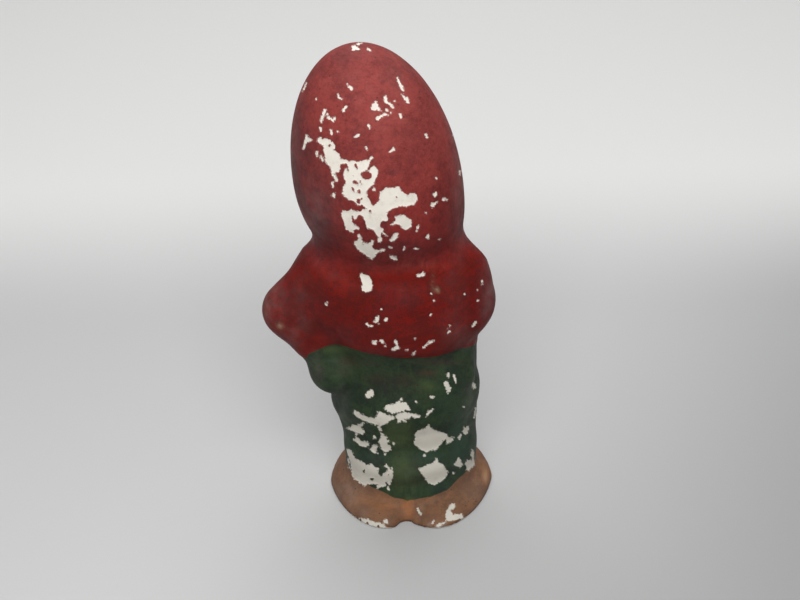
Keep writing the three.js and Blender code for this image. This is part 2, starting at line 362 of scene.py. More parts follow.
def cast(spacing):
    """Vertices and four-sided faces of the figure, from a grid of the given spacing."""
    low = np.array((-25.0, -25.0, -3 * spacing))
    high = np.array((37.5, 22.5, 121.0))
    lines = [np.arange(l, h, spacing, dtype=np.float32) for l, h in zip(low, high)]
    grid = openvdb.FloatGrid()
    grid.background = 10
    values = figure(np.meshgrid(*lines, indexing="ij", sparse=True))
    grid.copyFromArray(np.ascontiguousarray(values, dtype=np.float32))
    points, _, quads = grid.convertToPolygons(isovalue=0.0, adaptivity=0.0)
    points = settle(points * spacing + np.array([line[0] for line in lines]))
    quads = quads.astype(np.int64)
    corners = points[quads]
    volume = np.einsum("ij,ij->i", corners[:, 0], np.cross(corners[:, 1], corners[:, 2])).sum()
    return points, quads if volume > 0 else quads[:, ::-1]


def mesh_of(points, faces, name):
    mesh = bpy.data.meshes.new(name)
    mesh.from_pydata(points.tolist(), [], faces.tolist())
    mesh.validate()
    return mesh


def positions(mesh):
    places = np.empty(len(mesh.vertices) * 3, np.float32)
    mesh.vertices.foreach_get("co", places)
    return places.reshape(-1, 3)


def refine(mesh, near):
    """The faces whose corners are all marked as near are split into four."""
    work = bmesh.new()
    work.from_mesh(mesh)
    work.verts.ensure_lookup_table()
    edges = {e for f in work.faces if all(near[v.index] for v in f.verts) for e in f.edges}
    bmesh.ops.subdivide_edges(work, edges=list(edges), cuts=1, use_grid_fill=True)
    work.to_mesh(mesh)
    work.free()
    places = settle(positions(mesh))
    mesh.vertices.foreach_set("co", places.astype(np.float32).ravel())
    mesh.update()


# Camera, as it stood for the view from behind. Lengths in millimetres.

VIEW = (800, 600)
VIEW_TARGET = Vector((1.2, 0, 54.73))
VIEW_DISTANCE = 300
VIEW_LENS = 56.23
SENSOR = 36
VIEW_ELEVATION = math.radians(30)
VIEW_ROLL = math.radians(-2)


def view_directions():
    back = Vector((0, math.cos(VIEW_ELEVATION), math.sin(VIEW_ELEVATION)))
    right = (-back).cross(Vector((0, 0, 1))).normalized()
    up = right.cross(-back)
    cos, sin = math.cos(VIEW_ROLL), math.sin(VIEW_ROLL)
    return right * cos + up * sin, up * cos - right * sin, back


RIGHT, UP, BACK = view_directions()
EYE = VIEW_TARGET + BACK * VIEW_DISTANCE
FOCAL = VIEW_LENS * VIEW[0] / SENSOR
PIXELS_PER_MM = FOCAL / VIEW_DISTANCE


def seen_at(points):
    """Where points are in the view from behind, in its pixels from the top left."""
    offset = points - np.array(EYE)
    depth = -(offset @ np.array(BACK))
    across = VIEW[0] / 2 + FOCAL * (offset @ np.array(RIGHT)) / depth
    down = VIEW[1] / 2 - FOCAL * (offset @ np.array(UP)) / depth
    return across, down


# Places where the paint has flaked off, in pixels of the view from behind. An outline is a row of corners,
# across and down in turn. A stroke is a width and then points. An island is a stroke of paint that still
# stands in a flake.

FLAKE_OUTLINES = (
    # the long patch down the back of the hood
    (317, 141, 318, 138, 320.5, 136.5, 321, 139.5, 323, 139, 325, 137.5, 327, 139.5, 330, 139.5, 332, 142,
     334, 143, 335, 147, 333.5, 150, 336, 151, 339, 154, 340, 158, 345, 159.5, 349, 161.5, 354, 161,
     358, 162, 361, 160.5, 366, 160, 369, 159.5, 370.5, 157, 371.5, 155.8, 373, 157, 372.5, 159,
     370, 160.5, 369.5, 163, 368.5, 166, 367, 169, 364, 171, 361.5, 172, 360.5, 174, 362, 178, 365, 180,
     369, 179.5, 371.5, 177.5, 372, 174, 370.5, 172.5, 367.5, 171, 369.5, 170, 371, 167.5, 374.5, 165.5,
     375, 168, 378, 170, 377.5, 174, 376, 178, 374.5, 180, 374.8, 184, 371, 186, 368, 188, 367, 190,
     366.5, 193, 367.5, 197, 369, 200, 371, 204, 373.5, 205.5, 377, 203, 379, 200, 379.5, 195, 380, 192,
     384, 189.5, 386, 187.2, 390, 188, 394, 188.5, 397, 186.5, 399, 186.5, 400, 190, 404, 192, 407, 195.5,
     411, 193.5, 415, 193, 417.5, 196, 417, 200, 414, 205, 410, 205, 406, 206.5, 400, 206, 394, 208,
     388, 211, 386.5, 213, 387, 216, 388.5, 218.5, 386.5, 220.5, 381, 221, 379.5, 224, 380, 227, 383, 229,
     383, 232, 381, 233, 380.5, 237, 382, 240, 380.5, 243, 378, 242, 377.5, 240, 378.5, 237, 376, 235,
     374.5, 231, 371, 229, 368, 228.5, 366, 225, 365, 221, 363.5, 218, 362, 215, 358, 215, 356, 218,
     354.5, 220, 353, 216, 351, 214, 351, 219, 352.5, 223, 355, 225.5, 358, 227, 359, 230, 356, 229,
     354, 230, 353, 233, 349, 231.5, 346, 229, 344, 222, 341.5, 216, 342, 210, 346, 211, 350, 211,
     350.5, 208.5, 353, 210.5, 357, 211, 361, 212, 363, 209, 367, 208.5, 364, 206, 361, 204.8, 358, 205.8,
     356, 204, 354, 201, 349, 199.5, 345, 197, 342, 193, 342.5, 190, 343.5, 186, 345.5, 183, 345.5, 180,
     343.5, 177, 344, 172, 345, 167.5, 346, 168.5, 348.5, 172, 349.5, 172, 348, 167, 347.5, 163.5,
     340.5, 163.5, 340, 166, 340, 171.5, 338, 172, 336, 171.5, 334, 173.5, 337, 176.5, 338, 180.5,
     336, 182, 334, 178, 332, 174, 331, 170, 330, 166, 328, 165, 326, 163, 325, 158, 325, 154, 323.5, 150,
     324, 146.5, 322, 145, 320, 143.5),
    # other flakes on the hood
    (395, 216.5, 399, 215, 404, 215.5, 408, 217.5, 411, 220, 411.5, 223, 411, 227, 408, 229.5, 405, 230,
     402, 227.5, 399, 224, 395, 224, 393, 225.5, 391, 225, 393, 223, 395.5, 221.5, 395.5, 219),
    (397, 232.5, 399, 234, 397, 238, 394, 241, 391, 242, 389.5, 240.5, 392, 237, 394.5, 234),
    (353, 242, 357, 241, 358.5, 238.5, 357.5, 235.5, 359, 234, 361, 237, 362, 241, 362.5, 245, 364, 243,
     368, 243.5, 371, 242.5, 372, 240, 374, 241, 372, 245, 371.5, 247, 374, 250, 379, 250.5, 381, 249,
     385, 249, 384, 251, 379, 252, 376, 254, 374.5, 257, 373, 259, 369, 258, 366, 255, 361, 252,
     357, 248.5),
    (389.5, 255, 394, 256, 397, 258, 396.5, 260.5, 393, 260, 390, 257.5),
    (306, 134, 308.5, 137, 312, 140.5, 308, 141.5, 305.5, 145, 304, 149, 302.5, 149, 303.5, 145,
     304.5, 140),
    (353.5, 137.5, 357, 134.5, 360, 133.5, 359.5, 135.5, 356, 136.5),
    (388.5, 152, 390.5, 150, 393.5, 147, 395, 150, 392, 151.5, 389.5, 153),
    (331, 196, 333, 192.5, 335, 192.5, 334.5, 197.5),
    (352, 50, 352, 46, 354, 45, 357, 46.5, 359.5, 49, 356, 49.5),
    (348, 86.5, 350, 85, 352.5, 87.5, 353, 89.5, 351.5, 90, 349.5, 88),
    (396.5, 77, 398, 77, 400, 81.5, 402.5, 85.5, 404, 90, 402.5, 90.5, 400, 87, 398, 82),
    (401.5, 93.5, 404, 95.5, 407, 97, 409, 99, 409.7, 102.5, 407, 102.5, 405, 99.5, 403, 97),
    (372, 104, 374, 103.5, 375, 101.5, 376, 100, 377, 102, 378, 104.5, 378.5, 107, 381.5, 110.5,
     378, 109.5, 375, 110, 372, 109.5, 370.5, 107.5, 372, 106),
    (431, 203, 434, 202.5, 437.5, 201, 436, 204, 433, 207, 432, 208, 431, 205.5),
    # on the jacket
    (359.5, 276, 360, 274, 362, 273, 365, 274.5, 369, 276.5, 371, 280, 372, 285, 372, 289.5, 369, 291,
     366, 292, 362.5, 290.5, 361.5, 287, 362.5, 284, 361, 280),
    (416.5, 276.5, 416.5, 274.5, 420, 274, 423, 272, 425, 273.5, 424, 276, 421, 276, 418, 277),
    (375.5, 317, 378.5, 316, 379, 318, 378.5, 322, 373.5, 322, 375.5, 320),
    (372, 341, 376.5, 341, 377, 343, 376, 345, 372.5, 344),
    (391.5, 349, 394, 347.5, 397, 344.5, 399, 346, 399.5, 348.5, 396, 349, 394.5, 351, 391.5, 350),
    # on the trousers
    (364.5, 394.5, 366.5, 393, 368, 390.5, 371, 389.5, 373.5, 392, 373, 395.5, 370, 397.5, 366, 397.5),
    (384, 408, 386.5, 405, 391, 404.5, 395.5, 404, 397, 401.5, 399.5, 401, 401, 402.5, 406, 402.5,
     408.5, 405.5, 410.5, 410, 409, 410.5, 405, 409.5, 403.5, 411.5, 401, 411.5, 396, 412.5, 392, 413.5,
     388, 411.5),
    (353, 413, 355, 410.5, 358, 412.5, 362, 414.5, 366, 416.5, 372, 418, 376, 417.5, 378, 414.5,
     377, 411.5, 380, 412, 384, 413.5, 388, 415, 393, 416.5, 394.5, 418.5, 391, 420, 387, 421.5, 388, 423,
     384, 424, 381, 425.5, 380.5, 428, 382, 430, 379.5, 431.5, 378, 428, 378, 424.5, 375, 425, 371, 423,
     366, 421.5, 361, 419.5, 357.5, 417, 355, 414.5),
    (395.5, 416.5, 399, 413.5, 404, 412.5, 409, 413, 414, 414, 420, 415.5, 420.5, 417.5, 416, 418,
     411, 416.5, 409, 419, 404, 418.5, 401.5, 419.5, 400, 423, 397.5, 422.5, 398.5, 419.5),
    (433.5, 408.8, 431.5, 411.5, 429, 414, 426, 416.5, 427.5, 413, 428, 411, 431, 410),
    (346.5, 427.5, 350, 427, 353, 425, 357, 425.5, 360, 424, 362.5, 422.5, 364.5, 423, 362, 425.5,
     361, 427.5, 363, 430, 364.5, 432.5, 362, 434.5, 358, 433, 355, 431.5, 352, 430.5, 350, 430, 348, 429),
    (352.5, 439, 355, 438.5, 357.5, 437.5, 360, 440.5, 363, 441.5, 367.5, 441.5, 369, 444, 367.5, 447,
     363, 446.5, 360, 445.5, 357, 442.5, 354, 440.5),
    (380.5, 433, 382.5, 434.5, 386.5, 436.5, 387, 440, 389.5, 441, 387, 443, 387, 444.5, 390.5, 446,
     391, 450, 387, 452, 384, 451.5, 381, 448, 379.5, 444, 378.5, 441, 380, 438.5, 381.5, 437),
    (373.5, 445, 376, 444.5, 377.5, 446.5, 376, 449, 376.5, 452, 378.5, 454, 374, 453, 371, 450.5,
     369, 448.5, 372, 447.5),
    (414, 442, 416, 437, 414.5, 434.5, 417, 431.5, 421, 430, 425, 428.5, 427, 426.5, 428.5, 424.5,
     430, 427.5, 434, 430, 439, 431.5, 443, 433, 447, 434.5, 448, 437, 450, 437.5, 454, 437, 452.5, 440.5,
     450, 442.5, 446, 444, 447.5, 440.5, 445.5, 439, 443, 440.5, 441, 444.5, 438, 447.5, 436, 450,
     431, 450, 427, 452.5, 424, 451, 420.5, 450, 418.5, 447, 415, 445),
    (418.5, 468.5, 422, 468, 425, 466, 429, 464, 433, 463, 435, 461, 436, 458.5, 437.5, 459, 438, 462,
     440, 463.5, 443.5, 465, 445.5, 469, 448, 472, 446, 476, 444, 479.5, 440, 481.5, 438, 483, 435, 485,
     431, 484, 428, 483, 426, 479, 423, 475, 420, 471.5),
    (459, 457.5, 460.5, 460, 462.5, 465, 460.5, 467.5, 457, 466, 454, 465, 456.5, 462, 457.5, 459),
    (472, 449.5, 474, 452, 474, 457, 475, 461, 474, 466, 471, 468, 468.5, 471, 466.5, 470, 467, 466.5,
     465, 463.5, 467, 460.5, 470.5, 460, 472.5, 461, 472, 457, 471, 453),
    (463, 426, 465.5, 427.5, 468.5, 426, 469, 429.5, 467.5, 433.5, 465, 434.5, 462.5, 431.5, 464, 429.5),
    (458, 438.5, 459, 436, 460.5, 433.5, 461.5, 435, 460, 439),
    (444, 384, 445, 381, 448, 381.5, 448.5, 385, 451, 387.5, 450.5, 391, 448, 394, 446.5, 390,
     445.5, 387.5),
    (472.5, 383, 475, 383, 476, 388, 473.5, 388.5, 472.5, 385.5),
    (475, 407.5, 477, 408, 476, 413, 475.5, 418, 474, 418, 474.5, 413),
    (347, 449, 350, 449.5, 352, 451.5, 353, 456, 356, 459, 360, 461.5, 363, 462, 366, 465, 369, 464.5,
     372, 464, 375, 467.5, 378, 468, 378, 472, 379, 475, 381, 477, 383, 474, 386, 471.5, 388, 470.5,
     387.5, 468, 384, 466, 386.5, 464, 388.5, 466.5, 390.5, 470, 392, 467, 393, 472, 392.5, 477, 391, 481,
     390, 485.5, 388, 484, 387, 481, 385, 483, 386, 486, 383, 487, 379, 487.5, 377, 488.5, 376.5, 486,
     378, 484.5, 373, 483.5, 367, 484, 365, 486.5, 363, 484.5, 359, 482.5, 354, 478.5, 352, 475, 351, 469,
     350, 460, 348.5, 457, 347, 453),
    # on the shoes
    (355, 518, 362, 518.5, 368, 519.5, 372, 521, 376, 522.5, 381, 523, 385, 526, 387, 528, 383, 528.5,
     377, 527, 370, 525, 363, 522.5, 358, 520.5),
    (452, 503.5, 455, 504, 455, 507, 453, 509, 450.5, 509.5, 450.5, 512, 453, 514.5, 458, 514.5, 462, 514,
     463.5, 517, 462, 519, 456, 520, 450, 521, 446, 520.5, 445.5, 517, 446, 512, 447.5, 509.5, 449, 509,
     449, 506),
    (436, 524.5, 439, 523.5, 444, 522, 446, 521.5, 443, 524.5, 439, 526.5, 436, 527),
)
FLAKE_STROKES = (
    # on the hood
    (0.9, 383, 233.5, 388, 236), (1.6, 366, 147, 367.5, 150), (1.8, 317, 152, 317, 156),
    (1.5, 321, 156, 322.5, 161), (2, 332, 183, 333, 187), (2.4, 374, 189), (1.7, 331, 130, 331.5, 134),
    (1.8, 337.5, 131.5), (1.6, 320.5, 128, 320.5, 131), (2.2, 368.7, 125.5, 369.5, 128),
    (2.1, 417.5, 227.5, 418.8, 225.5), (1.2, 404.3, 247, 403.5, 250), (0.9, 414, 248.7, 418.5, 248.7),
    (1, 389, 247, 392, 247.5), (1.2, 358, 43.7, 362, 43.2), (1.3, 368, 48.5, 370.5, 50), (1.3, 347.5, 84),
    (1, 338, 94, 338.5, 96), (1.6, 339, 97.5, 342, 99), (1.8, 343.5, 110.5, 345, 107, 347, 106.3),
    (1.2, 316, 99), (2.3, 385, 97, 386, 101, 390, 103.5, 393, 107.5), (1.3, 394.5, 101),
    (1.3, 386.5, 109.5, 387, 111), (1.5, 391, 112), (2.4, 377.5, 118.3, 381, 116, 385, 114),
    (1.2, 386, 114.3, 388, 115), (1.6, 400, 114, 401.5, 118), (2.3, 325, 110.5, 322.5, 116, 321.3, 122),
    (1.6, 327, 114), (1.7, 328, 117, 331, 119, 334, 122), (1.6, 335, 117, 334.5, 119.5),
    (1.1, 306, 83, 302.5, 91), (1.7, 426, 134.5, 427.5, 137.5), (2, 454, 134, 455, 139),
    (1.3, 460, 171, 460.2, 175), (1.3, 436.5, 178), (2.6, 435, 195, 436, 193), (2.2, 443.7, 199),
    (1, 447, 199.5), (1.2, 426, 212.5), (1.1, 417, 231), (2.1, 427.5, 237.5, 428.7, 234.5),
    (1.3, 439.5, 239.5), (1, 333.5, 176, 331, 172),
    # on the jacket
    (0.7, 431.5, 293.5), (1.2, 434, 300.5), (0.9, 464.5, 294), (1.1, 482, 280.5, 482, 284.5),
    (1.1, 477.5, 290), (1.2, 478, 300.5), (1, 430.5, 315, 431.5, 313.5),
    (1.6, 475.5, 322.5, 472.5, 326.5), (1.2, 325.3, 304.2, 327, 305.5), (0.9, 327.5, 302),
    (1, 379, 323.5), (2.2, 385.7, 320, 386.3, 318.3), (1, 381.5, 309),
    (1.8, 367, 324, 369, 326, 372, 326), (2.1, 381.5, 340.7, 383, 343), (1.5, 385, 346),
    (2.2, 395.5, 342, 397, 345), (1, 406, 350, 408, 350.3), (1.1, 415, 338.5),
    (1.8, 413.5, 354, 415.3, 351.6), (1.3, 423.5, 347.5, 430, 342.5), (2.2, 430, 342.5, 434, 340.7),
    (0.9, 447.5, 328.5), (0.8, 450, 325.5, 450, 327), (0.8, 450, 331, 448, 333),
    # on the trousers
    (1.6, 403, 420, 406, 421.5), (1.1, 356, 434, 356, 437), (1.6, 454, 375, 455, 378.5, 456, 383),
    (2, 448, 374.5, 448.5, 377), (2, 430.8, 397.3, 434, 396.8), (2, 388.3, 488, 389, 490),
    (1.4, 348, 459, 349, 468), (2, 401, 399), (1.5, 416, 401.5), (2.2, 374, 437), (1.6, 393.5, 443.5),
    (2, 424.5, 455.5), (1.1, 464, 407), (1.4, 385, 454.5), (1.5, 453.5, 473),
    # on the shoes
    (3.4, 386, 521.7, 387.3, 523), (1.3, 434, 521, 432, 524),
    (1.2, 417.5, 508.5, 419, 511.5, 421, 513.5, 420.2, 515),
)
ISLANDS = (
    (2.4, 329.5, 145.5), (2.2, 355.5, 164.5, 357, 168.5), (3.4, 354.5, 182, 358, 184),
    (1.5, 360, 181.5, 362, 184.5), (1.8, 352.5, 188.5, 354, 192), (3, 359, 191.5),
    (3.3, 358.5, 200, 359, 203.5), (1.6, 361, 199, 362.5, 198.5), (1.8, 370, 211, 371, 212.5),
    (1.1, 353, 175.5), (1, 396.5, 197), (2.3, 363.8, 471, 364, 472.5), (2.6, 372, 479.5), (1.2, 388, 475),
)

# Uneven tones, as soft spots: centre and half widths in pixels of the same view, and a strength. Some are
# the paint's own tones, and some are painted light and shade, as said at each.

SOFT_SPOTS = {
    # Painted shade under the hood, under the jacket's hem, in the shoes' creases and down the hood's left
    # side, together with real soot.
    "sooty": (
        (299, 170, 19, 62, 1.0), (318, 215, 19, 36, 1.0), (330, 243, 14, 14, 0.6),
        (303, 110, 12, 30, 0.45), (392, 173, 5, 1.6, 1.0), (362, 178, 8, 6, 0.3), (357, 56, 24, 10, 0.45),
        (415, 150, 10, 22, 0.25), (287, 293, 8, 12, 0.5), (414.8, 506, 1.2, 9, 0.9),
        (341, 478, 6, 18, 0.5), (394, 171, 6, 2.2, 0.9), (318, 188, 10, 20, 0.5), (388, 290, 14, 9, 0.2),
        (400, 249, 34, 12, 0.45), (452, 225, 10, 22, 0.25), (460, 190, 6, 40, 0.4), (413, 232, 3, 3, 0.7),
        (385, 223, 3, 4, 0.6), (301, 298, 7, 9, 0.6), (304, 319, 7, 4, 0.7), (342, 333, 22, 12, 0.45),
        (452, 273, 3, 3, 0.8), (448, 316, 22, 14, 0.25), (486, 300, 10, 34, 0.5), (402, 302, 16, 8, 0.4),
        (385, 312, 16, 10, 0.3), (322, 302, 14, 10, 0.35), (395, 352, 40, 5, 0.35), (437, 502, 2, 3, 0.9),
        (430, 515, 9, 7, 0.35), (437, 362, 30, 4, 0.8), (366, 362, 18, 4, 0.5), (317, 372, 7, 14, 0.4),
        (393, 385, 26, 14, 0.3),
    ),
    "brown": (
        (427, 373, 10, 3.2, 1.0), (404, 380, 9, 6, 0.4), (376, 379, 12, 5, 0.4), (348, 361, 8, 6, 0.6),
        (345, 372, 10, 5, 0.3), (415, 482, 14, 4, 0.25),
    ),
    # Painted highlights where the hood's crown, the top of the jacket, the legs, the shoe ridge and the
    # bulges catch the light, together with paint rubbed thin.
    "bright": (
        (428, 386, 11, 7, 0.7), (398, 435, 13, 15, 1.0), (402, 470, 11, 22, 1.0), (413, 490, 3, 5, 1.0),
        (335, 349, 18, 4, 1.0), (322, 345, 6, 4, 0.8), (318, 338, 9, 4, 0.6), (345, 282, 14, 12, 0.5),
        (420, 266, 34, 9, 0.9), (380, 272, 30, 7, 0.6), (330, 275, 30, 8, 0.5), (357, 75, 20, 9, 0.4),
        (401, 118, 34, 26, 0.35), (408, 506, 6, 13, 1.0), (385, 505, 20, 8, 0.3), (486, 476, 3, 7, 0.9),
        (365, 500, 14, 6, 0.3),
    ),
    # A painted grey sheen along the outlines, together with some dust.
    "dusty_sheen": (
        (268, 305, 16, 30, 1.0), (458, 300, 12, 22, 0.2), (492, 300, 10, 36, 1.0),
        (300, 322, 14, 14, 0.4), (314, 215, 14, 30, 0.7), (459, 190, 5, 60, 0.5),
        (300, 290, 16, 20, 0.25), (290, 334, 12, 14, 0.7), (456, 330, 14, 20, 0.5),
        (398, 78, 20, 30, 0.3), (330, 78, 20, 22, 0.15), (316, 368, 7, 16, 0.6), (341, 410, 7, 24, 0.6),
        (470, 405, 8, 30, 0.5), (348, 496, 16, 20, 1.0), (364, 512, 10, 8, 0.6), (474, 488, 14, 14, 0.6),
        (293, 160, 5, 60, 0.4), (404, 470, 70, 16, 0.25),
    ),
    "teal": (
        (352, 480, 12, 26, 0.8), (460, 445, 12, 34, 0.9), (430, 456, 22, 6, 0.8), (370, 456, 26, 6, 0.5),
        (345, 440, 8, 20, 0.5), (447, 400, 14, 18, 0.3), (445, 488, 26, 10, 0.5),
    ),
    "scuff": (
        (280, 326, 2.6, 2.4, 1.0), (437, 290, 2.2, 2.0, 1.0), (433, 281, 1.2, 12, 0.3),
        (485.5, 476, 2.4, 6, 0.9), (422, 509, 2, 3, 0.4),
    ),
}

# Distances beyond FAR aren't worked out. A stroke loses TAPER of its width from its start to its end. The
# edge of a flake sways by BITE, in waves of PACE radians to a millimetre.

FAR = 5.0
TAPER = 0.7
BITE = 0.18
PACE = 4.2


def line_distance(across, down, start, end):
    """Distance from a line, and how far along it the nearest place is."""
    along = end - start
    length_squared = max(along @ along, 1e-9)
    share = np.clip(((across - start[0]) * along[0] + (down - start[1]) * along[1]) / length_squared, 0, 1)
    return np.hypot(across - start[0] - share * along[0], down - start[1] - share * along[1]), share


def stroke_distance(across, down, stroke):
    """Distance in pixels from the edge of a stroke that thins towards its end, below zero on it."""
    places = np.array(stroke[1:], float).reshape(-1, 2)
    ends = places[1:] if len(places) > 1 else places
    nearest = np.full(len(across), np.inf)
    for i, (start, end) in enumerate(zip(places, ends)):
        away, share = line_distance(across, down, start, end)
        width = stroke[0] * (1 + TAPER * (0.5 - (i + share) / len(ends)))
        nearest = np.minimum(nearest, away - width / 2)
    return nearest


def outline_distance(across, down, outline):
    """Distance in pixels from a closed outline, below zero inside it."""
    places = np.array(outline, float).reshape(-1, 2)
    nearest = np.full(len(across), np.inf)
    inside = np.zeros(len(across), bool)
    for start, end in zip(places, np.roll(places, -1, axis=0)):
        nearest = np.minimum(nearest, line_distance(across, down, start, end)[0])
        crosses = (start[1] > down) != (end[1] > down)
        rise = end[1] - start[1]
        level = start[0] + (down - start[1]) * (end[0] - start[0]) / (rise if rise else 1)
        inside ^= crosses & (across < level)
    return np.where(inside, -nearest, nearest)


def swayed(places, bite, pace):
    """The same places, moved a little so that smooth outlines come out in small angular bites."""
    following = [*places[1:], places[0]]
    moved = []
    for a, b in zip(places, following):
        out = np.abs(np.sin(pace * b + 1.7 * np.sin(0.64 * pace * a)))
        back = np.abs(np.sin(pace * (1.3 * a - 0.4 * b)))
        moved.append(a + bite * (out - back))
    return moved


def seen_flakes(points, normals, tree):
    """Distance in millimetres from the flakes that show from behind, below zero on bare plaster."""
    across, down = swayed(seen_at(points), BITE * PIXELS_PER_MM, PACE / PIXELS_PER_MM)
    distance = np.full(len(points), FAR)

    def near(shape):
        places = np.array(shape[len(shape) % 2 :], float).reshape(-1, 2)
        low, high = places.min(0) - 8, places.max(0) + 8
        return np.nonzero((across > low[0]) & (across < high[0]) & (down > low[1]) & (down < high[1]))[0]

    for shapes, measure in ((FLAKE_OUTLINES, outline_distance), (FLAKE_STROKES, stroke_distance)):
        for shape in shapes:
            i = near(shape)
            distance[i] = np.minimum(distance[i], measure(across[i], down[i], shape) / PIXELS_PER_MM)
    for shape in ISLANDS:
        i = near(shape)
        distance[i] = np.maximum(distance[i], -stroke_distance(across[i], down[i], shape) / PIXELS_PER_MM)
    facing, to_eye = facing_eye(points, normals)
    distance = np.where(facing < 0.06, FAR, distance)
    for i in np.nonzero(distance < 1)[0]:
        start = Vector(points[i] + normals[i] * 0.3)
        if tree.ray_cast(start, Vector(to_eye[i]))[0] is not None:
            distance[i] = FAR
    return distance


def facing_eye(points, normals):
    to_eye = np.array(EYE) - points
    to_eye /= np.linalg.norm(to_eye, axis=1, keepdims=True)
    return np.einsum("ij,ij->i", normals, to_eye), to_eye


def soft_spots(points, normals, spots):
    across, down = seen_at(points)
    total = np.zeros(len(points))
    for x, y, half_width, half_height, strength in spots:
        spot = np.exp(-(((across - x) / half_width) ** 2) - ((down - y) / half_height) ** 2)
        total = np.maximum(total, strength * spot)
    return total * smooth(facing_eye(points, normals)[0], -0.1, 0.15)


def at_face(points, depth, half_width, middle, half_height):
    """Whether points lie in front of a depth, and near the middle of the face."""
    x, y, z = points.T
    return (y < -depth) & (np.abs(x - FACE_X) < half_width) & (np.abs(z - middle) < half_height)


def hidden_chips(points, normals, seed, count):
    """Small clusters of chips on the sides that the view doesn't show, each as two ends and a radius."""
    draw = np.random.default_rng(seed)
    hidden = (normals @ np.array(BACK) < 0.1) & (points[:, 2] > 1.5)
    away = np.nonzero(hidden & ~at_face(points, 9, 11, 84, 14))[0]
    chips = []
    for centre in points[draw.choice(away, count, replace=False)]:
        spread = draw.uniform(0.5, 2.0)
        for _ in range(draw.integers(1, 6)):
            start = centre + draw.normal(0, spread, 3)
            end = start + draw.normal(0, spread * 0.7, 3)
            chips.append((start, end, draw.uniform(0.15, 0.3 + 0.35 * spread)))
    return chips


def chip_distance(points, chips):
    distance = np.full(len(points), FAR)
    bitten = np.stack(swayed(list(points.T), 2 * BITE, PACE / 2), 1)
    for start, end, size in chips:
        close = np.nonzero(np.linalg.norm(points - start, axis=1) < FAR + 2)[0]
        p = [bitten[close, i] for i in range(3)]
        distance[close] = np.minimum(distance[close], limb(p, start, end, size, size * 0.6))
    return distance


# What the paint follows, as one number for each vertex


def paint_guides(points, normals, flake):
    p = [points[:, i].astype(np.float64) for i in range(3)]
    x, y, z = p
    hair = np.minimum.reduce([beard(p), moustache(p), brows(p)])
    skin = np.minimum(face(p), hands(p))
    ball = eyes(p)
    cloth = np.minimum.reduce([hood(p), jacket(p), cuff(p)])
    iris = np.minimum(*[np.hypot(x - FACE_X - s * EYE_SPREAD, z - 85.7) for s in SIDES])
    above = [v + 1.6 * n for v, n in zip(p, normals.T)]
    below = [v - 1.2 * n for v, n in zip(p, normals.T)]
    cheeks = sum(np.exp(-(((x - FACE_X - s * 5.6) / 2.6) ** 2) - ((z - 81.2) / 2.3) ** 2) for s in SIDES)
    nose = np.exp(-(((x - FACE_X) / 2.6) ** 2) - ((z - 82) / 2.2) ** 2) * smooth(-y, 16, 18)
    fan = np.abs(fanned(x, z))
    whiskers = 3 * hump(fan, 0, 7.5) * hump(z, 72.5, 5) * smooth(-y, 11.5, 13.5)
    beyond = 4 * smooth(fan, 10.2, 10.9) * smooth(-z, -72.5, -70.5)
    return {
        "flake": flake,
        "hem": z - hem_height(x, y),
        "ankle": z - ankle_height(x, y),
        "hair": np.minimum.reduce([cloth, skin, ball]) - hair + whiskers - beyond,
        "skin": np.minimum.reduce([cloth, hair]) - np.minimum(skin, ball),
        "eyeball": np.minimum.reduce([skin, hair]) - ball,
        "iris": np.where(y < -14, 0.8 - iris, -FAR),
        "buttoned": 0.15 - button(p),
        "blush": np.clip(cheeks * smooth(-y, 12, 14) + nose, 0, 1),
        **{name: soft_spots(points, normals, spots) for name, spots in SOFT_SPOTS.items()},
        "hollow": np.clip(1 - figure(above) / 1.6, 0, 1),
        "ridge": np.clip(1 + figure(below) / 1.2, 0, 1),
    }


def store(mesh, guides):
    for name, values in guides.items():
        layer = mesh.attributes.new(name, "FLOAT", "POINT")
        layer.data.foreach_set("value", values.astype(np.float32))


# Helpers for node trees


class Tree:
    """Makes nodes and links in one node tree. An input is a plain value, a socket or None."""

    def __init__(self, tree):
        self.tree = tree

    def node(self, kind, inputs=(), output=0, **settings):
        made = self.tree.nodes.new(kind)
        for name, value in settings.items():
            setattr(made, name, value)
        for name, value in dict(inputs).items():
            socket = made.inputs[name]
            if isinstance(value, bpy.types.NodeSocket):
                self.tree.links.new(value, socket)
            elif value is not None:
                socket.default_value = value
        return made.outputs[output] if made.outputs else None

    def shader_math(self, operation, a, b, c=0.0, clamp=False):
        return self.node("ShaderNodeMath", {0: a, 1: b, 2: c}, operation=operation, use_clamp=clamp)

    def times(self, a, b):
        return self.shader_math("MULTIPLY", a, b)

    def times_plus(self, a, b, c):
        return self.shader_math("MULTIPLY_ADD", a, b, c)

    def plus(self, a, b, clamp=False):
        return self.shader_math("ADD", a, b, clamp=clamp)

    def minus(self, a, b):
        return self.shader_math("SUBTRACT", a, b)

    def larger(self, a, b, clamp=False):
        return self.shader_math("MAXIMUM", a, b, clamp=clamp)

    def smaller(self, a, b):
        return self.shader_math("MINIMUM", a, b)

    def vector(self, operation, a, b):
        return self.node("ShaderNodeVectorMath", {0: a, 1: b}, operation=operation)

    def noise(self, vector, size, detail=3.0, roughness=0.55):
        inputs = {"Vector": vector, "Scale": 1 / size, "Detail": detail, "Roughness": roughness}
        return self.node("ShaderNodeTexNoise", inputs)

    def ramp(self, value, low, high, start=0.0, end=1.0):
        inputs = {"Value": value, "From Min": low, "From Max": high, "To Min": start, "To Max": end}
        return self.node("ShaderNodeMapRange", inputs, interpolation_type="SMOOTHSTEP")

    def mix(self, share, a, b):
        return self.node("ShaderNodeMix", {0: share, 6: a, 7: b}, output=2, data_type="RGBA")

    def guide(self, name):
        return self.node("ShaderNodeAttribute", output="Fac", attribute_name=name)


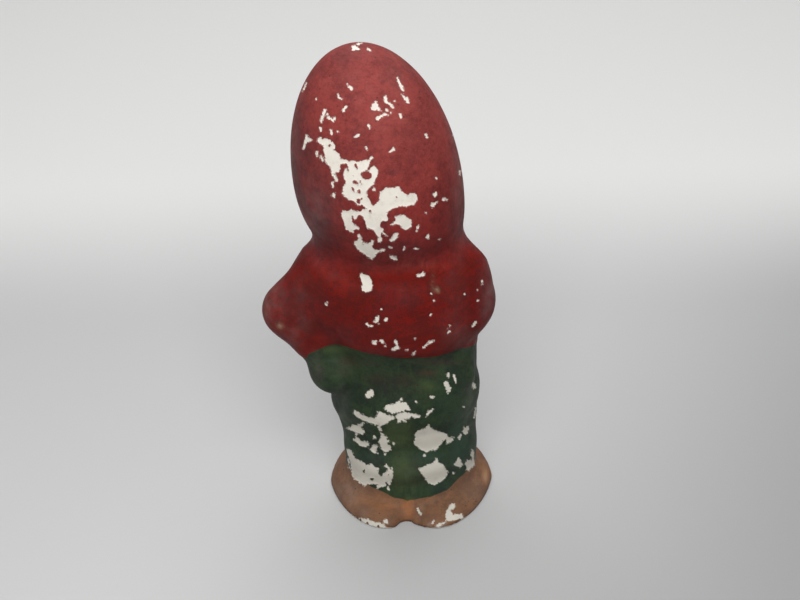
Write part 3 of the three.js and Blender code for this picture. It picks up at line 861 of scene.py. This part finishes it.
def node_group(name, sockets_in, sockets_out, kind="ShaderNodeTree"):
    tree = bpy.data.node_groups.new(name, kind)
    for direction, sockets in (("INPUT", sockets_in), ("OUTPUT", sockets_out)):
        for label, (socket_type, default) in sockets.items():
            made = tree.interface.new_socket(label, in_out=direction, socket_type=socket_type)
            if default is not None:
                made.default_value = default
    return tree, tree.nodes.new("NodeGroupInput").outputs, tree.nodes.new("NodeGroupOutput").inputs


def rgba(colour):
    return (*colour, 1.0)


# The layer of paint: its flakes are sunk below it


def paint_skin_tree():
    number, geometry = "NodeSocketFloat", "NodeSocketGeometry"
    tree, given, wanted = node_group(
        "Paint skin",
        {
            "Geometry": (geometry, None),
            "Paint Thickness": (number, 0.00016),
            "Ragged Edge": (number, 0.0003),
            "Casting Unevenness": (number, 0.00025),
            "Seed": (number, 7.0),
            "Material": ("NodeSocketMaterial", None),
        },
        {"Geometry": (geometry, None)},
        "GeometryNodeTree",
    )
    t = Tree(tree)

    def patterned(size, detail):
        inputs = {"W": given["Seed"], "Scale": 1 / (size * MM), "Detail": detail, "Roughness": 0.6}
        pattern = t.node("ShaderNodeTexNoise", inputs, noise_dimensions="4D")
        return t.minus(pattern, 0.5)

    flake = t.node("GeometryNodeInputNamedAttribute", {"Name": "flake"}, data_type="FLOAT")
    ragged_mm = t.times(given["Ragged Edge"], 2 / MM)
    ragged = t.times_plus(patterned(0.8, 5.0), ragged_mm, flake)
    inputs = {"Geometry": given["Geometry"], "Name": "flake", "Value": ragged}
    stored = t.node("GeometryNodeStoreNamedAttribute", inputs, data_type="FLOAT", domain="POINT")
    sunk = t.ramp(ragged, 0.1, -0.12)
    depth = t.times(sunk, given["Paint Thickness"])
    uneven = t.times(patterned(14, 2.0), given["Casting Unevenness"])
    height = t.minus(uneven, depth)
    place = t.node("ShaderNodeSeparateXYZ", {0: t.node("GeometryNodeInputPosition")}, output="Z")
    lifted = t.ramp(place, 0.0, 0.0015)
    height = t.times(height, lifted)
    offset = t.node(
        "ShaderNodeVectorMath", {0: t.node("GeometryNodeInputNormal"), "Scale": height}, operation="SCALE"
    )
    moved = t.node("GeometryNodeSetPosition", {"Geometry": stored, "Offset": offset})
    real = t.node("GeometryNodeRealizeInstances", {"Geometry": moved})
    finished = t.node("GeometryNodeSetMaterial", {"Geometry": real, "Material": given["Material"]})
    tree.links.new(finished, wanted["Geometry"])
    return tree


def shaped_by(piece, tree, **values):
    """The piece's mesh after the tree has run on it, with the named inputs set."""
    modifier = piece.modifiers.new("Paint skin", "NODES")
    modifier.node_group = tree
    for item in tree.interface.items_tree:
        if item.in_out == "INPUT" and item.name.replace(" ", "_").lower() in values:
            modifier[item.identifier] = values[item.name.replace(" ", "_").lower()]
    graph = bpy.context.evaluated_depsgraph_get()
    evaluated = piece.evaluated_get(graph)
    mesh = bpy.data.meshes.new_from_object(evaluated, preserve_all_data_layers=True, depsgraph=graph)
    piece.modifiers.remove(modifier)
    return mesh


# Shader groups. The three pairs are heights between which one tone gives way to another: the deeper low hood
# to the lighter upper hood, which is painted light and shade that follows height;
# the jacket to the hood; and clean bare casting to darker casting lower down, which is painted shade
# together with soiling.

LIT_UPPER_HOOD = (74.0, 100.0)
NECK = (66.5, 71.5)
SOILED_AND_SHADED = (92.0, 15.0)


def brushed_paint_group():
    """One coat of paint: cloudy and mottled, with streaks of the brush, and thinner where it is rubbed, and
    lighter where a painted highlight falls.
    """
    colour, number, vector = "NodeSocketColor", "NodeSocketFloat", "NodeSocketVector"
    tree, given, wanted = node_group(
        "Brushed paint",
        {
            "Place": (vector, None),
            "Strokes": (vector, None),
            "Colour": (colour, (0.3, 0.02, 0.02, 1)),
            "Thin Colour": (colour, (0.4, 0.1, 0.1, 1)),
            "Deep Colour": (colour, (0.1, 0.01, 0.01, 1)),
            "Streaks": (number, 0.5),
            "Mottles": (number, 0.5),
            "Rubbed": (number, 0.0),
        },
        {"Colour": (colour, None)},
    )
    t = Tree(tree)
    clouds = t.ramp(t.noise(given["Place"], 7.0, 6.0, 0.66), 0.6, 0.38)
    mottles = t.ramp(t.noise(given["Place"], 1.3, 4.0, 0.72), 0.56, 0.38)
    grain = t.ramp(t.noise(given["Place"], 0.45, 3.0, 0.75), 0.6, 0.36)
    fine = t.times_plus(grain, 0.45, t.times(mottles, 0.55))
    deep = t.times(t.times_plus(clouds, 0.8, fine), given["Mottles"])
    shade = t.mix(t.smaller(deep, 1.0), given["Colour"], given["Deep Colour"])
    lines = t.noise(given["Strokes"], 0.7, 5.0, 0.72)
    faded = t.ramp(t.noise(given["Place"], 5.0, 2.0), 0.36, 0.6, 0.25, 1.0)
    streaks = t.times_plus(t.minus(lines, 0.5), faded, 0.5)
    thin = t.times(t.ramp(streaks, 0.5, 0.8), given["Streaks"])
    broken = t.times_plus(streaks, 1.2, t.noise(given["Place"], 2.4, 3.0))
    rubbed = t.times(t.ramp(broken, 0.7, 1.5), given["Rubbed"])
    shade = t.mix(t.plus(thin, rubbed, clamp=True), shade, given["Thin Colour"])
    dark = t.times(t.ramp(streaks, 0.46, 0.24), given["Streaks"])
    shade = t.mix(dark, shade, given["Deep Colour"])
    tree.links.new(shade, wanted["Colour"])
    return tree


def grime_and_shade_group():
    """Soot in patches together with painted shade, dirt that gathers in the hollows, and dark specks."""
    number, vector = "NodeSocketFloat", "NodeSocketVector"
    tree, given, wanted = node_group(
        "Grime",
        {
            "Place": (vector, None),
            "Strokes": (vector, None),
            "Hollow": (number, 0.0),
            "Sooty": (number, 0.0),
        },
        {"Dirt": (number, None), "Specks": (number, None)},
    )
    t = Tree(tree)
    patches = t.noise(given["Place"], 4.5, 5.0, 0.65)
    brushed = t.noise(given["Strokes"], 0.6, 4.0, 0.65)
    broken = t.plus(t.ramp(patches, 0.25, 0.7, 0.45, 1.0), t.ramp(brushed, 0.35, 0.7, -0.2, 0.2))
    sooty = t.times(given["Sooty"], broken)
    gathered = t.times(t.ramp(given["Hollow"], 0.15, 0.8), t.ramp(patches, 0.25, 0.6, 0.0, 0.6))
    smudges = t.ramp(patches, 0.62, 0.8, 0.0, 0.35)
    dirt_and_shade = t.larger(t.larger(gathered, smudges), sooty, clamp=True)
    tree.links.new(dirt_and_shade, wanted["Dirt"])
    dots = t.node("ShaderNodeTexVoronoi", {"Vector": given["Place"], "Scale": 1 / 1.5, "Randomness": 1.0})
    rare = t.ramp(t.noise(given["Place"], 3.4, 3.0), 0.46, 0.6)
    specks = t.times(t.ramp(dots, 0.17, 0.09, 0.0, 0.7), rare)
    tree.links.new(specks, wanted["Specks"])
    return tree


def bare_plaster_group():
    """White casting plaster with faint stains and grey specks, and how far it shows through the paint."""
    colour, number, vector = "NodeSocketColor", "NodeSocketFloat", "NodeSocketVector"
    tree, given, wanted = node_group(
        "Bare plaster",
        {
            "Place": (vector, None),
            "Flake": (number, -1.0),
            "Colour": (colour, (0.7, 0.65, 0.6, 1)),
            "Stain": (colour, (0.5, 0.4, 0.33, 1)),
        },
        {"Colour": (colour, None), "Bare": (number, None), "Edge": (number, None)},
    )
    t = Tree(tree)
    fine = t.noise(given["Place"], 0.45, 4.0, 0.75)
    edge = t.times_plus(t.minus(fine, 0.5), 0.42, given["Flake"])
    tree.links.new(t.ramp(edge, 0.04, -0.04), wanted["Bare"])
    broken = t.ramp(t.noise(given["Place"], 1.1, 3.0), 0.42, 0.62, 0.1, 0.6)
    tree.links.new(t.times(t.ramp(edge, 0.26, 0.03), broken), wanted["Edge"])
    stains = t.ramp(t.noise(given["Place"], 2.4, 4.0, 0.65), 0.5, 0.78, 0.0, 0.4)
    shade = t.mix(stains, given["Colour"], given["Stain"])
    dots = t.node("ShaderNodeTexVoronoi", {"Vector": given["Place"], "Scale": 1 / 0.9, "Randomness": 1.0})
    shade = t.mix(t.ramp(dots, 0.14, 0.07, 0.0, 0.35), shade, given["Stain"])
    tree.links.new(shade, wanted["Colour"])
    return tree


def brush_directions(t, place):
    """Two stretched copies of the place on the figure, for strokes that run up it and strokes round it."""
    flat = t.vector("MULTIPLY", t.vector("SUBTRACT", place, (5.0, 0.0, 0.0)), (1.0, 1.0, 0.0))
    around = t.node("ShaderNodeVectorMath", {0: flat}, operation="NORMALIZE")
    bent = t.node("ShaderNodeTexNoise", {"Vector": place, "Scale": 1 / 16, "Detail": 1.0}, output="Color")
    swung = t.vector("MULTIPLY", t.vector("SUBTRACT", bent, (0.5, 0.5, 0.5)), (5.0, 5.0, 5.0))
    height = t.node("ShaderNodeSeparateXYZ", {0: place}, output="Z")
    reach = t.node("ShaderNodeVectorMath", {0: flat}, output="Value", operation="LENGTH")
    rings = t.node("ShaderNodeCombineXYZ", {"Z": t.minus(height, reach)})
    sides = t.vector("MULTIPLY", around, (17.0, 17.0, 0.0))
    upright = t.vector("ADD", sides, t.vector("MULTIPLY", place, (0, 0, 0.1)))
    sides = t.vector("MULTIPLY", around, (2.5, 2.5, 0.0))
    level = t.vector("ADD", sides, t.vector("MULTIPLY", rings, (0, 0, 0.9)))
    upright = t.mix(t.ramp(height, 92.0, 110.0, 0.0, 0.75), upright, level)
    less = t.vector("MULTIPLY", swung, (0.6, 0.6, 0.6))
    return t.vector("ADD", upright, swung), t.vector("ADD", level, less)


def painted_plaster(colours):
    """Brushed matt paints over white plaster, flaked, rubbed and sooty, with painted highlights, painted
    shade and a painted grey sheen in the colour.
    """
    material, t = empty_material("painted_plaster")
    brushed = brushed_paint_group()
    metres = t.node("ShaderNodeTexCoord", output="Object")
    place = t.node("ShaderNodeVectorMath", {0: metres, "Scale": 1 / MM}, operation="SCALE")
    height = t.node("ShaderNodeSeparateXYZ", {0: place}, output="Z")
    upright, level = brush_directions(t, place)
    wobble = t.minus(t.noise(place, 3.2, 4.0), 0.5)

    def coat(paint, strokes, streaks, mottles, rubbed=0.0):
        inputs = {
            "Place": place,
            "Strokes": strokes,
            "Colour": rgba(getattr(colours, paint)),
            "Thin Colour": rgba(getattr(colours, paint + "_thin")),
            "Deep Colour": rgba(getattr(colours, paint + "_deep")),
            "Streaks": streaks,
            "Mottles": mottles,
            "Rubbed": rubbed,
        }
        return t.node("ShaderNodeGroup", inputs, output="Colour", node_tree=brushed)

    def past(guide, sway, softness):
        line = t.times_plus(wobble, sway, t.guide(guide))
        return t.ramp(line, -softness, softness)

    # This guide carries paint rubbed thin together with painted highlights.
    rubbed = t.guide("bright")
    # The hood's red is lighter above and deeper low down: painted light and shade that follows height.
    upper = t.ramp(t.times_plus(wobble, 14.0, height), *LIT_UPPER_HOOD)
    shaded_low_hood = coat("hood_low", upright, 0.5, 0.75, rubbed)
    reds = t.mix(upper, shaded_low_hood, coat("hood", upright, 0.6, 0.65, rubbed))
    neck = t.ramp(t.times_plus(wobble, 3.0, height), *NECK)
    reds = t.mix(neck, coat("jacket", level, 0.4, 1.0, rubbed), reds)
    greens = coat("trousers", upright, 0.4, 0.75, rubbed)
    # The trousers turn to their thin colour at the painted highlights as well as where they are rubbed.
    greens = t.mix(t.times(rubbed, 0.5), greens, rgba(colours.trousers_thin))
    greens = t.mix(t.times(t.guide("teal"), 0.7), greens, rgba(colours.trousers_cool))
    greens = t.mix(t.times(t.guide("brown"), 0.75), greens, rgba(colours.trousers_stain))
    shade = t.mix(past("hem", 0.9, 0.14), greens, reds)
    browns = coat("shoes", level, 0.45, 0.8, rubbed)
    # Painted highlights on the shoes, together with rubbed paint.
    browns = t.mix(t.times(rubbed, 0.6), browns, rgba(colours.shoes_thin))
    shade = t.mix(past("ankle", 0.8, 0.16), browns, shade)
    skin = coat("skin", level, 0.25, 0.5)
    skin = t.mix(t.times(t.guide("blush"), 0.65), skin, rgba(colours.blush))
    shade = t.mix(past("skin", 0.3, 0.16), shade, skin)
    shade = t.mix(past("hair", 0.3, 0.16), shade, coat("hair", upright, 0.5, 0.4))
    shade = t.mix(past("eyeball", 0.0, 0.08), shade, rgba(colours.eyes))
    shade = t.mix(past("iris", 0.0, 0.08), shade, rgba(colours.pupils))
    shade = t.mix(past("buttoned", 0.1, 0.1), shade, rgba(colours.button))

    # Soot and dirt, together with painted shade from the sooty spots, darken the paint.
    inputs = {"Place": place, "Strokes": upright, "Hollow": t.guide("hollow"), "Sooty": t.guide("sooty")}
    dirt_and_shade = t.node("ShaderNodeGroup", inputs, output="Dirt", node_tree=grime_and_shade_group())
    shade = t.mix(t.times(dirt_and_shade, 0.68), shade, rgba(colours.soot))
    shade = t.mix(dirt_and_shade.node.outputs["Specks"], shade, rgba(colours.specks))
    # Ridges rubbed pale, together with a painted grey sheen along the outlines.
    worn_and_sheen = t.times(t.ramp(t.guide("ridge"), 0.35, 0.8), t.ramp(wobble, 0.0, 0.25, 0.0, 0.5))
    dusty_sheen = t.times(t.guide("dusty_sheen"), t.ramp(wobble, -0.3, 0.3, 0.02, 0.16))
    worn_and_sheen = t.larger(worn_and_sheen, dusty_sheen)
    shade = t.mix(worn_and_sheen, shade, rgba(colours.dust))
    shade = t.mix(t.times(t.guide("scuff"), 0.6), shade, rgba(colours.scuff))

    # Bare plaster darker lower down: painted shade, together with soiling from handling.
    soiled_and_shaded = t.ramp(t.times_plus(wobble, 6.0, height), *SOILED_AND_SHADED)
    sole = t.ramp(height, 0.55, 0.15, 0.0, -4.0)
    inputs = {
        "Place": place,
        "Flake": t.plus(t.guide("flake"), sole),
        "Colour": t.mix(soiled_and_shaded, rgba(colours.plaster), rgba(colours.plaster_soiled_and_shaded)),
        "Stain": rgba(colours.plaster_stain),
    }
    plaster = t.node("ShaderNodeGroup", inputs, output="Colour", node_tree=bare_plaster_group())
    bare = plaster.node.outputs["Bare"]
    shade = t.mix(plaster.node.outputs["Edge"], shade, rgba(colours.plaster))
    shade = t.mix(bare, shade, plaster)

    relief = t.times_plus(t.noise(upright, 0.5, 3.0), 0.5, t.noise(place, 0.35, 4.0, 0.7))
    layer = t.times_plus(t.minus(1.0, bare), 1.2, relief)
    bump = t.node("ShaderNodeBump", {"Height": layer, "Strength": 0.5, "Distance": 0.00006})
    satin = t.ramp(t.noise(place, 2.5, 4.0), 0.3, 0.7, 0.52, 0.7)
    rough = t.larger(satin, t.times(bare, 0.88))
    inputs = {
        "Base Color": shade,
        "Roughness": rough,
        "Normal": bump,
        "Specular IOR Level": 0.15,
    }
    t.node("ShaderNodeOutputMaterial", {"Surface": t.node("ShaderNodeBsdfPrincipled", inputs)})
    return material


def board_material(settings):
    """Smooth pale board, lighter on the far side of the figure as painted light, and darker towards the
    corner behind the figure's back and on its right as painted shade.
    """
    material, t = empty_material("pale_board")
    metres = t.node("ShaderNodeTexCoord", output="Object")
    across = t.node("ShaderNodeSeparateXYZ", {0: metres})
    towards = across.node.outputs["Y"]
    # Painted light: the board turns lighter away from the figure.
    far = t.ramp(towards, -settings.tone_distance, -settings.tone_distance - settings.tone_width)
    away = t.node("ShaderNodeVectorMath", {0: metres}, output="Value", operation="LENGTH")
    far = t.larger(far, t.ramp(away, settings.tone_distance * 4, settings.board_radius))
    shade = t.mix(far, rgba(settings.near_board), rgba(settings.far_board))
    # Painted shade: the near board darkens towards the corner behind the figure's back, on its right.
    corner = t.minus(t.times(towards, 0.8), across)
    dim = t.ramp(corner, -0.03, 0.16, 0.0, 0.42)
    dim = t.times(dim, t.minus(1.0, far))
    shade = t.mix(dim, shade, (0.0, 0.0, 0.0, 1.0))
    fibres = t.noise(metres, 0.0006, 3.0)
    bump = t.node("ShaderNodeBump", {"Height": fibres, "Strength": 0.2, "Distance": 0.00005})
    inputs = {"Base Color": shade, "Roughness": 0.85, "Specular IOR Level": 0.2, "Normal": bump}
    t.node("ShaderNodeOutputMaterial", {"Surface": t.node("ShaderNodeBsdfPrincipled", inputs)})
    return material


def empty_material(name):
    material = bpy.data.materials.new(name)
    material.use_nodes = True
    material.node_tree.nodes.clear()
    return material, Tree(material.node_tree)


# Settings that a user would change


def length(name, description, default):
    return FloatProperty(name=name, description=description, default=default, unit="LENGTH", precision=5)


def paint(name, description, default):
    shown = {"name": name, "description": description, "subtype": "COLOR", "min": 0, "max": 1}
    return FloatVectorProperty(default=default, **shown)


def amount(name, description, default):
    return FloatProperty(name=name, description=description, default=default, min=0)


class FigurineSizes(bpy.types.PropertyGroup):
    mesh_spacing: length("Mesh Spacing", "Distance between neighbouring vertices of the cast", 0.00066)
    paint_thickness: length("Paint Thickness", "How deep the flaked places lie below the paint", 0.00016)
    ragged_edge: length("Ragged Edge", "How far the edge of a flake wanders", 0.00034)
    casting_unevenness: length("Casting Unevenness", "Height of the slow waves in the cast", 0.00025)
    hidden_chips: IntProperty(name="Hidden Chips", description="Clusters in front", default=46, min=0)
    seed: IntProperty(name="Seed", description="Seed of all random places", default=7)


# Coats of paint. Each has a remark and three colours: as laid on, thin or rubbed, and lying thick.

COATS = {
    # The upper hood's lighter red and the low hood's deeper red are painted light and shade that follow
    # height, together with some dust at the top.
    "hood": ("Dull red of the hood", (0.285, 0.046, 0.04), (0.36, 0.082, 0.072), (0.15, 0.024, 0.022)),
    "hood_low": ("Deeper red, low down", (0.22, 0.019, 0.016), (0.29, 0.045, 0.037), (0.11, 0.013, 0.012)),
    "jacket": ("Warm red of the jacket", (0.162, 0.004, 0.0012), (0.26, 0.01, 0.003), (0.09, 0.005, 0.003)),
    "trousers": ("Dark green trousers", (0.027, 0.049, 0.02), (0.056, 0.08, 0.029), (0.013, 0.022, 0.014)),
    "shoes": ("Light brown of the shoes", (0.215, 0.105, 0.054), (0.34, 0.135, 0.055), (0.14, 0.072, 0.042)),
    "skin": ("Face and hand", (0.6, 0.33, 0.22), (0.64, 0.4, 0.29), (0.5, 0.25, 0.16)),
    "hair": ("Beard, moustache and brows", (0.62, 0.59, 0.52), (0.7, 0.66, 0.59), (0.4, 0.37, 0.32)),
}
TONES = {"": "", "_thin": ", thin or rubbed", "_deep": ", lying thick"}


def coat_paints():
    made = {}
    for coat, (remark, *colours) in COATS.items():
        for (ending, state), colour in zip(TONES.items(), colours):
            label = (coat + ending).replace("_", " ").title()
            made[coat + ending] = paint(label, remark + state, colour)
    return made


class PaintColours(bpy.types.PropertyGroup):
    __annotations__ = coat_paints()
    trousers_cool: paint("Trousers, Cool", "Bluer green low down at the sides", (0.029, 0.057, 0.04))
    trousers_stain: paint("Trousers, Stain", "Brown marks near the hem", (0.052, 0.03, 0.02))
    blush: paint("Blush", "Cheeks and nose", (0.55, 0.14, 0.1))
    eyes: paint("Eyes", "White of the eyes", (0.62, 0.58, 0.52))
    pupils: paint("Pupils", "Dark of the eyes", (0.025, 0.03, 0.04))
    button: paint("Button", "Button of the jacket", (0.12, 0.07, 0.04))
    plaster: paint("Plaster", "Casting under the paint", (0.8, 0.75, 0.67))
    # Darker plaster low down: painted shade, together with soiling from handling.
    plaster_soiled_and_shaded: paint("Plaster, Soiled", "Casting low down, where it is handled", (0.6, 0.57, 0.5))
    plaster_stain: paint("Plaster, Stain", "Stains on the bare casting", (0.46, 0.4, 0.345))
    # Also colours the painted shade of the sooty spots.
    soot: paint("Soot", "Soot and dirt in the hollows", (0.05, 0.021, 0.026))
    specks: paint("Specks", "Dark specks on the paint", (0.03, 0.014, 0.014))
    # Also colours the painted grey sheen along the outlines.
    dust: paint("Dust", "Where ridges are rubbed pale", (0.48, 0.43, 0.41))
    scuff: paint("Scuff", "Tan scuffs", (0.36, 0.27, 0.17))


class StudioSettings(bpy.types.PropertyGroup):
    near_board: paint("Near Board", "Pale board under the figure", (0.52, 0.52, 0.52))
    # The lighter far board is painted light.
    far_board: paint("Far Board", "Lighter board beyond it", (0.78, 0.78, 0.77))
    tone_distance: length("Tone Distance", "From the figure to where the board turns lighter", 0.08)
    tone_width: length("Tone Width", "How softly it turns lighter", 0.12)
    board_radius: length("Board Radius", "Flat part of the round board", 1.1)
    bend_radius: length("Bend Radius", "Radius of its turned up edge", 0.5)
    board_height: length("Board Height", "Height of its edge", 1.6)
    light_size: length("Soft Light Size", "Side of the soft light behind the figure", 0.3)
    soft_light: amount("Soft Light", "Power of the soft light", 1.74)
    ceiling_size: length("Ceiling Light Size", "Side of the light overhead", 0.95)
    ceiling_light: amount("Ceiling Light", "Power of the light overhead", 6.25)
    surround: amount("Surround", "Brightness of the room", 0.245)


# Operators


class CastFigurine(bpy.types.Operator):
    """Casts the gnome in one piece and paints it"""

    bl_idname = "gnome.cast_figurine"
    bl_label = "Cast Figurine"

    def execute(self, context):
        sizes = context.scene.gnome_sizes
        points, quads = cast(sizes.mesh_spacing / MM)
        if not len(quads):
            raise RuntimeError("the grid holds no surface")
        mesh = mesh_of(points, quads, "figurine_cast")
        tree = BVHTree.FromPolygons(points.tolist(), quads.tolist())
        chips = hidden_chips(points, surface_normals(points), sizes.seed, sizes.hidden_chips)
        for nearness in (0.7, 0.25):
            places, _, flake = self.flaked(mesh, tree, chips)
            features = at_face(places, 12.5, 8, 82, 10) & (nearness > 0.5)
            refine(mesh, (np.abs(flake) < nearness) | features)
        store(mesh, paint_guides(*self.flaked(mesh, tree, chips)))
        mesh.transform(Matrix.Scale(UNIT, 4))
        mesh.polygons.foreach_set("use_smooth", np.ones(len(mesh.polygons), bool))
        draft = bpy.data.objects.new("figurine_draft", mesh)
        context.collection.objects.link(draft)
        context.view_layer.update()
        finished = shaped_by(
            draft,
            paint_skin_tree(),
            paint_thickness=sizes.paint_thickness,
            ragged_edge=sizes.ragged_edge,
            casting_unevenness=sizes.casting_unevenness,
            seed=float(sizes.seed),
            material=painted_plaster(context.scene.gnome_colours),
        )
        bpy.data.objects.remove(draft)
        finished.name = "gnome_figurine"
        figurine = bpy.data.objects.new("gnome_figurine", finished)
        context.collection.objects.link(figurine)
        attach(figurine, "root")
        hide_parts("figurine")
        return {"FINISHED"}

    def flaked(self, mesh, tree, chips):
        """The places and normals of the mesh's vertices, and how far each lies from bare plaster."""
        places = positions(mesh).astype(float)
        normals = surface_normals(places)
        return places, normals, np.minimum(seen_flakes(places, normals, tree), chip_distance(places, chips))


class SetStudio(bpy.types.Operator):
    """Lays the pale board, hangs the soft light and sets the camera"""

    bl_idname = "gnome.set_studio"
    bl_label = "Set Studio"

    def execute(self, context):
        settings = context.scene.gnome_studio
        if settings.board_radius <= settings.tone_distance + settings.tone_width:
            raise RuntimeError("the board is too small for its two tones")
        self.lay_board(context, settings)
        self.hang_lights(context, settings)
        self.set_camera(context)
        context.scene.view_settings.view_transform = "Standard"
        return {"FINISHED"}

    def lay_board(self, context, settings):
        flat, bend = settings.board_radius, settings.bend_radius
        steps, sides = 12, 96
        profile = [(flat * 0.1, 0.0), (flat, 0.0)]
        for i in range(1, steps + 1):
            angle = math.pi / 2 * i / steps
            profile.append((flat + bend * math.sin(angle), bend * (1 - math.cos(angle))))
        profile.append((flat + bend, settings.board_height))
        turns = [2 * math.pi * i / sides for i in range(sides)]
        verts = [(r * math.cos(turn), r * math.sin(turn), z) for r, z in profile for turn in turns]
        faces = [tuple(range(sides))]
        for ring_start in range(0, sides * (len(profile) - 1), sides):
            for i in range(sides):
                inner, following = ring_start + i, ring_start + (i + 1) % sides
                faces.append((inner, inner + sides, following + sides, following))
        mesh = bpy.data.meshes.new("pale_board")
        mesh.from_pydata(verts, [], faces)
        mesh.polygons.foreach_set("use_smooth", np.ones(len(mesh.polygons), bool))
        mesh.materials.append(board_material(settings))
        board = bpy.data.objects.new("pale_board", mesh)
        context.collection.objects.link(board)

    def hang_lights(self, context, settings):
        """A soft light above and behind the figure's back, and a wider, weaker one overhead."""
        aim = Vector((0.0, 0.0, 0.06))
        for name, place, size, power in (
            ("soft_light", (0.0, 0.3, 0.38), settings.light_size, settings.soft_light),
            ("ceiling_light", (0.0, -0.45, 0.9), settings.ceiling_size, settings.ceiling_light),
        ):
            light = bpy.data.lights.new(name, "AREA")
            light.shape, light.size, light.energy = "SQUARE", size, power
            lamp = bpy.data.objects.new(name, light)
            lamp.location = place
            lamp.rotation_euler = (aim - lamp.location).to_track_quat("-Z", "Y").to_euler()
            context.collection.objects.link(lamp)
        world = bpy.data.worlds.new("dim_room")
        world.use_nodes = True
        background = world.node_tree.nodes["Background"]
        background.inputs["Color"].default_value = (0.97, 0.98, 1.0, 1)
        background.inputs["Strength"].default_value = settings.surround
        context.scene.world = world

    def set_camera(self, context):
        data = bpy.data.cameras.new("view_from_behind")
        data.lens, data.sensor_width, data.clip_start = VIEW_LENS, SENSOR, 0.01
        camera = bpy.data.objects.new("view_from_behind", data)
        turn = Matrix((RIGHT, UP, BACK)).transposed().to_4x4()
        camera.matrix_world = Matrix.Translation(EYE * MM) @ turn
        context.collection.objects.link(camera)
        context.scene.camera = camera


class GnomePanel(bpy.types.Panel):
    bl_idname = "VIEW3D_PT_gnome"
    bl_label = "Painted Plaster Gnome"
    bl_space_type = "VIEW_3D"
    bl_region_type = "UI"
    bl_category = "Gnome"

    def draw(self, context):
        for label in SETTINGS:
            settings = getattr(context.scene, label)
            box = self.layout.box()
            for name in settings.__annotations__:
                box.prop(settings, name)
        self.layout.operator(CastFigurine.bl_idname)
        self.layout.operator(SetStudio.bl_idname)


SETTINGS = {"gnome_sizes": FigurineSizes, "gnome_colours": PaintColours, "gnome_studio": StudioSettings}
CLASSES = (*SETTINGS.values(), CastFigurine, SetStudio, GnomePanel)


def register():
    for made in CLASSES:
        bpy.utils.register_class(made)
    for name, group in SETTINGS.items():
        setattr(bpy.types.Scene, name, PointerProperty(type=group))


def unregister():
    for name in SETTINGS:
        delattr(bpy.types.Scene, name)
    for made in reversed(CLASSES):
        bpy.utils.unregister_class(made)


def main():
    register()
    bpy.ops.gnome.set_studio()
    bpy.ops.gnome.cast_figurine()


if __name__ == "__main__":
    main()
